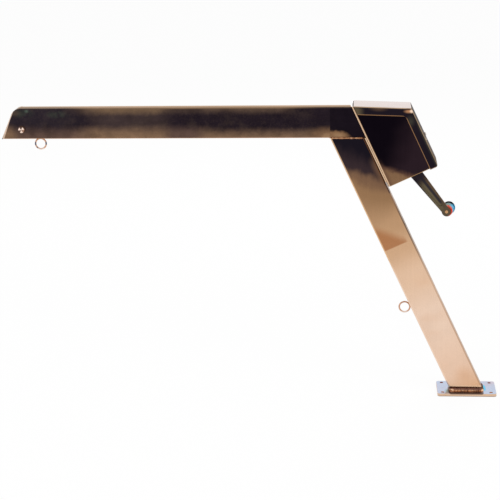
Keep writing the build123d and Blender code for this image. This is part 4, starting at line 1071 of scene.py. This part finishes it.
# CAD nodes that keep their own mesh, by finish
painted = {
    "boltSteel": (
        "nose_bolt_nut", "nose_spacers", "winch_bolts", "weld_nuts", "rope_clamp_screws",
        "drum_axle", "drum_axle_nut", "drum_axle_washer", "shaft_circlip", "pawl_pin",
        "guide_pin", "guide_pin_circlip", "crank_washer", "grip_clip",
    ),
    "platedSteel": ("winch_frame", "drum", "rope_clamp", "pawl"),
    "gearSteel": ("drum_gear", "drive_shaft", "pinion", "ratchet_wheel"),
    "bronze": ("nose_sheave_bush", "drum_bushes", "shaft_bushes"),
    "nylon": ("nose_sheave", "wall_bush", "guide_roller"),
    "washerSteel": ("nose_bolt_washers",),
}
newMeshes = {"join": 1e-7, "sharp": radians(35)}


def finishPiece(name, points, faces, finish, node):
    # Corners that meet are joined, faces turned outwards, and rounds shaded smooth
    mesh = bpy.data.meshes.new(name)
    mesh.from_pydata(points.reshape(-1, 3).tolist(), [], faces.tolist())
    work = bmesh.new()
    work.from_mesh(mesh)
    bmesh.ops.remove_doubles(work, verts=work.verts, dist=newMeshes["join"])
    bmesh.ops.recalc_face_normals(work, faces=work.faces)
    work.to_mesh(mesh)
    work.free()
    mesh.shade_smooth()
    mesh.set_sharp_from_angle(angle=newMeshes["sharp"])
    mesh.materials.append(finishes[finish])
    piece = bpy.data.objects.new(name, mesh)
    bpy.context.scene.collection.objects.link(piece)
    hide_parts(node)
    return piece


def quads(rows, columns, ring=False):
    # Four-cornered faces of a grid that closes round its columns, and round its rows if it is a ring
    index = np.arange(rows * columns).reshape(rows, columns)
    following = np.roll(index, -1, axis=0)
    across = (np.roll(grid, -1, axis=1) for grid in (following, index))
    corners = np.stack((index, following, *across), axis=-1)
    return (corners if ring else corners[:-1]).reshape(-1, 4)


# Turned pieces of the grip, measured from the grip's place along its way
gripShapes = {
    "washer": {"start": 0.0131, "end": 0.0150, "radius": 0.0169, "round": 0.0006, "bulge": 0.0},
    "handle": {"start": 0.0156, "end": 0.1196, "radius": 0.0172, "round": 0.0025, "bulge": 0.0017},
    "cap": {"start": 0.1196, "end": 0.1326, "radius": 0.0215, "round": 0.0040, "bulge": 0.0},
    "grid": {"columns": 96, "steps": 3, "roundStops": 8, "sideStops": 9, "sideMargin": 0.1},
}


def rounded(shape):
    # Stations of a rod with rounded ends: quarter circles at both ends, and a side that swells by bulge
    grid = gripShapes["grid"]
    start, end, radius, bend = (shape[part] for part in ("start", "end", "radius", "round"))
    turn = np.linspace(0, pi / 2, grid["roundStops"])
    share = np.linspace(grid["sideMargin"], 1 - grid["sideMargin"], grid["sideStops"])
    depth, reach = bend * (1 - np.cos(turn)), radius - bend * (1 - np.sin(turn))
    side = radius + shape["bulge"] * np.sin(pi * share)
    along = start + (end - start) * share
    distances = np.concatenate(((start,), start + depth, along, end - depth[::-1], (end,)))
    return distances, np.concatenate(((0.0,), reach, side, reach[::-1], (0.0,)))


def turned(name, stations, finish, node):
    # A turned piece. Point(u, v) = place + way * distance(u) + radius(u) * (across * cos v + upward * sin v),
    # where distance and radius run straight between the stations, each stretch cut into equal steps
    grid = gripShapes["grid"]
    way = np.array(gripWay)
    across = np.cross(way, (0.0, 0.0, 1.0))
    across /= np.linalg.norm(across)
    upward = np.cross(across, way)
    stops = np.arange(len(stations[0]))
    u = np.linspace(0, stops[-1], stops[-1] * grid["steps"] + 1)
    distance, radius = (np.interp(u, stops, station)[:, None, None] for station in stations)
    v = np.linspace(0, 2 * pi, grid["columns"], endpoint=False)[None, :, None]
    points = np.array(gripPlace) + way * distance + radius * (across * np.cos(v) + upward * np.sin(v))
    return finishPiece(name, points, quads(len(u), grid["columns"]), finish, node)


def makeGrip():
    for name, shape, finish, node, slotName in (
        ("gripWasherSkin", "washer", "washerRed", "grip_washer", "washer_red"),
        ("gripSkin", "handle", "gripBlue", "crank_grip", "grip_blue"),
        ("gripCapSkin", "cap", "gripBlack", "grip_cap", "grip_black"),
    ):
        piece = turned(name, rounded(gripShapes[shape]), finish, node)
        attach(piece, frame["nodes"][node]["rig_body"])


# Beads swell by crescent ripples about their middle level, and by slow lumps of three lengths
lumpLooks = {"seed": 7, "middle": 0.6, "lengths": (0.031, 0.017, 0.0109), "shares": (0.5, 0.3, 0.2)}
chance = np.random.default_rng(lumpLooks["seed"])


def lumps(along, look, lag):
    # How much a bead swells along its length, as a share: |sin| of the ripples, which lag across the
    # bead, and a sum of slow sines that start anywhere
    ripple = np.abs(np.sin(pi * along / look["pitch"] + lag))
    starts = chance.uniform(0, 2 * pi, len(lumpLooks["lengths"]))
    slow = sum(
        np.sin(2 * pi * along / length + start) * share
        for length, start, share in zip(lumpLooks["lengths"], starts, lumpLooks["shares"])
    )
    return 1 + look["swell"] * (ripple - lumpLooks["middle"]) + look["lump"] * slow


baseBeadLooks = {
    "leg": 0.0088,
    "thinEnds": 0.72,
    "pitch": 0.0042,
    "swell": 0.10,
    "lump": 0.10,
    "lag": 1.2,
    "overlap": 0.0012,
    "tuck": 0.95,
    "bulge": 0.8,
    "corner": 0.006,
    "cornerStops": 10,
    "rows": 900,
    "columns": 14,
}


def baseBead():
    # Fillet weld round the post's foot. Point(u, v) = outline(u) + outward(u) * leg * out(v) * swell(u, v),
    # at height leg * up(v) * swell(u, v) over the plate, leaning back with the post. Out and up follow a
    # bulging corner, a cosine and a sine of v to a power under 1
    look = baseBeadLooks
    half = np.array((postFoot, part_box("post_tube")[1].y))
    corner, rows = look["corner"], look["rows"]
    turns = np.linspace(0, pi / 2, look["cornerStops"]) + np.arange(4)[:, None] * pi / 2
    sides = np.array(((1, 1), (-1, 1), (-1, -1), (1, -1)))[:, None, :]
    outward = np.stack((np.cos(turns), np.sin(turns)), axis=-1)
    outline = (sides * (half - corner) + corner * outward).reshape(-1, 2)
    outward = outward.reshape(-1, 2)
    closedLine = np.vstack((outline, outline[:1]))
    closedOut = np.vstack((outward, outward[:1]))
    walked = np.concatenate(((0.0,), np.cumsum(np.linalg.norm(np.diff(closedLine, axis=0), axis=1))))
    along = np.linspace(0, walked[-1], rows, endpoint=False)
    line = np.stack([np.interp(along, walked, closedLine[:, k]) for k in (0, 1)], axis=-1)
    out = np.stack([np.interp(along, walked, closedOut[:, k]) for k in (0, 1)], axis=-1)
    v = np.linspace(0, 1, look["columns"])
    inside = -look["overlap"] / look["leg"]
    outPart = np.concatenate(((inside,), np.cos(v * pi / 2) ** look["bulge"], (inside,)))
    upPart = np.concatenate(((0.0,), np.sin(v * pi / 2) ** look["bulge"], (look["tuck"],)))
    lag = np.concatenate(((0.0,), look["lag"] * np.sin(pi * v), (0.0,)))
    grow = lumps(along[:, None], look, lag[None, :])
    leg = look["leg"] * (1 - look["thinEnds"] * out[:, :1] ** 2)
    away = outPart[None, :] * leg * np.where(outPart[None, :] > 0, grow, 1.0)
    height = upPart[None, :] * leg * grow
    flat = line[:, None, :] + out[:, None, :] * away[..., None]
    points = np.stack((flat[..., 0] - height * tan(lean), flat[..., 1], height + plateTop), axis=-1)
    faces = quads(rows, len(outPart), ring=True)
    piece = finishPiece("baseBead", points, faces, "weldSteel", "base_weld")
    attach(piece, "davit")


elbowBeadLooks = {
    "height": 0.0027,
    "thick": 0.0019,
    "pitch": 0.0040,
    "swell": 0.22,
    "lump": 0.30,
    "lag": 0.8,
    "inset": 0.004,
    "frontInset": 0.006,
    "endLength": 0.004,
    "endPower": 0.5,
    "rows": 240,
    "columns": 20,
}


def elbowBeads():
    # Welds where the post meets the arm: one along each side and one across the front corner.
    # Point(u, v) = line(u) + outward * thick * swell * cos v + upward * height * swell * sin v, drawn out
    # to nothing at its ends
    look = elbowBeadLooks
    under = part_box("arm_tube")[0].z
    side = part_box("post_tube")[1].y
    middle = -(under - plateTop) * tan(lean)
    reach = postFoot - look["inset"]
    left, right = middle - reach, middle + reach
    front, inner = left - look["frontInset"], side - look["frontInset"]
    rows, columns = look["rows"], look["columns"]
    v = np.linspace(0, 2 * pi, columns, endpoint=False)[None, :]
    for name, start, end, outward, upward in (
        ("elbowBeadNear", (left, -side, under), (right, -side, under), (0, -1, 0), (0, 0, 1)),
        ("elbowBeadFar", (left, side, under), (right, side, under), (0, 1, 0), (0, 0, 1)),
        ("elbowBeadFront", (front, -inner, under), (front, inner, under), (-1, 0, -1), (-1, 0, 1)),
    ):
        start, end = np.array(start), np.array(end)
        length = np.linalg.norm(end - start)
        along = np.linspace(0, length, rows)[:, None]
        grow = lumps(along, look, look["lag"] * np.cos(v))
        ends = np.clip(np.minimum(along, length - along) / look["endLength"], 0, 1) ** look["endPower"]
        outward = np.array(outward) / np.linalg.norm(outward)
        upward = np.array(upward) / np.linalg.norm(upward)
        thick = look["thick"] * grow * ends * np.cos(v)
        tall = look["height"] * grow * ends * np.sin(v)
        line = start + (end - start) * (along / length)
        points = line[:, None, :] + outward * thick[..., None] + upward * tall[..., None]
        piece = finishPiece(name, points, quads(rows, columns), "weldSteel", "elbow_weld")
        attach(piece, "davit")


ringShape = {"radius": 0.0175, "wire": 0.0025, "uneven": 0.03, "lobes": 3, "rows": 120, "columns": 28}


def hoop(node, eye):
    # A ring eye. Point(u, v) = middle + (radius + thick * cos v) * (cos u, 0, sin u) + thick * sin v *
    # (0, 1, 0), where thick is the wire's radius, a little uneven on the way round
    look = ringShape
    u = np.linspace(0, 2 * pi, look["rows"], endpoint=False)[:, None]
    v = np.linspace(0, 2 * pi, look["columns"], endpoint=False)[None, :]
    thick = look["wire"] * (1 + look["uneven"] * np.sin(look["lobes"] * u) * np.cos(v))
    reach = look["radius"] + thick * np.cos(v)
    wire = np.stack((reach * np.cos(u), thick * np.sin(v), reach * np.sin(u)), axis=-1)
    points = wire + np.array(eye["middle"])
    faces = quads(look["rows"], look["columns"], ring=True)
    return finishPiece(node + "Wire", points, faces, eye["finish"], node)


eyeBeadLooks = {
    "size": (0.0085, 0.0062, 0.0042),
    "fromMiddle": 0.020,
    "sunk": 0.0004,
    "lump": 0.12,
    "lobes": 3,
    "lobeStart": 1.0,
    "smallLump": 0.06,
    "smallLobes": 7,
    "rows": 16,
    "columns": 40,
}


def eyeBead(node, eye):
    # Weld round the root of an eye: a half ball, flattened and lumpy. Point(u, v) = root + rough(u, v) *
    # (length * sin u * cos v alongside, width * sin u * sin v across, and height * cos u outwards)
    look = eyeBeadLooks
    rows, columns = look["rows"], look["columns"]
    length, width, height = look["size"]
    u = np.linspace(0, pi / 2, rows)[:, None, None]
    v = np.linspace(0, 2 * pi, columns, endpoint=False)[None, :, None]
    outward, alongside = np.array(eye["outward"]), np.array(eye["alongside"])
    across = np.cross(outward, alongside)
    broad = look["lump"] * np.sin(look["lobes"] * v + look["lobeStart"]) * np.sin(2 * u)
    small = look["smallLump"] * np.sin(look["smallLobes"] * v) * np.sin(u)
    flat = alongside * length * np.sin(u) * np.cos(v) + across * width * np.sin(u) * np.sin(v)
    dome = (flat + outward * height * np.cos(u)) * (1 + broad + small)
    base = np.broadcast_to(-look["sunk"] * outward, (1, columns, 3))
    root = np.array(eye["middle"]) - outward * look["fromMiddle"]
    points = np.concatenate((dome, base), axis=0) + root
    faces = quads(rows + 1, columns)
    return finishPiece(eye["bead"], points, faces, "weldSteel", node + "_weld")


def makeEyes():
    for make in (hoop, eyeBead):
        for node, eye in eyes.items():
            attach(make(node, eye), "davit")


# Copies of CAD meshes: how near corners are joined, how flat is flat, and where rounds end
copies = {
    "join": 1e-6,
    "flat": radians(0.4),
    "sharp": radians(28),
    "bevelFrom": radians(40),
    "bevelSegments": 2,
}
# Faces that take another finish: the ones that look along an axis by more than a share
otherFinish = {
    # The cover's faces that look up or left take the light top finish, a painted reflection, and its back the
    # darker rear one
    "housing_cover": (
        ("coverTopSteel", (0, 0, 1), 0.8),
        ("coverTopSteel", (-1, 0, 0), 0.6),
        ("coverRearSteel", slopeAxes["depth"], 0.97),
    ),
    "housing_box": (("insideSheet", (0, 0, 1), 0.6), ("insideSheet", slopeAxes["depth"], 0.6)),
}


def otherSlots(mesh, choices):
    normals = np.empty(len(mesh.polygons) * 3)
    mesh.polygons.foreach_get("normal", normals)
    normals = normals.reshape(-1, 3)
    slots = np.zeros(len(mesh.polygons), dtype=np.int32)
    for finish, axis, share in choices:
        slots[normals @ np.array(axis) > share] = len(mesh.materials)
        mesh.materials.append(finishes[finish])
    mesh.polygons.foreach_set("material_index", slots)


def smoothCopy(node, finish, slotName, edge):
    # A copy of a CAD node's mesh with its triangles joined, flats dissolved and rounds smoothed
    source = frame["nodes"][node]
    work = bmesh.new()
    work.from_mesh(source.data)
    bmesh.ops.remove_doubles(work, verts=work.verts, dist=copies["join"])
    bmesh.ops.dissolve_limit(work, angle_limit=copies["flat"], verts=work.verts, edges=work.edges)
    mesh = bpy.data.meshes.new(node + "_skin")
    work.to_mesh(mesh)
    work.free()
    mesh.shade_smooth()
    mesh.set_sharp_from_angle(angle=copies["sharp"])
    mesh.materials.append(finishes[finish])
    otherSlots(mesh, otherFinish.get(node, ()))
    piece = bpy.data.objects.new(node + "_skin", mesh)
    bpy.context.scene.collection.objects.link(piece)
    if edge:
        bevel = piece.modifiers.new("brokenEdges", "BEVEL")
        bevel.width = edge
        bevel.segments = copies["bevelSegments"]
        bevel.limit_method = "ANGLE"
        bevel.angle_limit = copies["bevelFrom"]
        bevel.harden_normals = True
    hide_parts(node)
    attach(piece, source["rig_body"])


def paint(node, finish):
    mesh = frame["nodes"][node].data
    mesh.materials.clear()
    mesh.materials.append(finishes[finish])


bpy.context.scene.view_settings.view_transform = "Standard"
makeCamera()
makeWorld()
makeLamps()
makeFloor()
print("camera, world, lamps and floor made")
makeFinishes()
print("finishes made,", len(finishes))
for node, choice in dressed.items():
    smoothCopy(node, *choice)
for finish, nodes in painted.items():
    for node in nodes:
        paint(node, finish)
print("CAD pieces dressed")
baseBead()
elbowBeads()
makeEyes()
makeGrip()
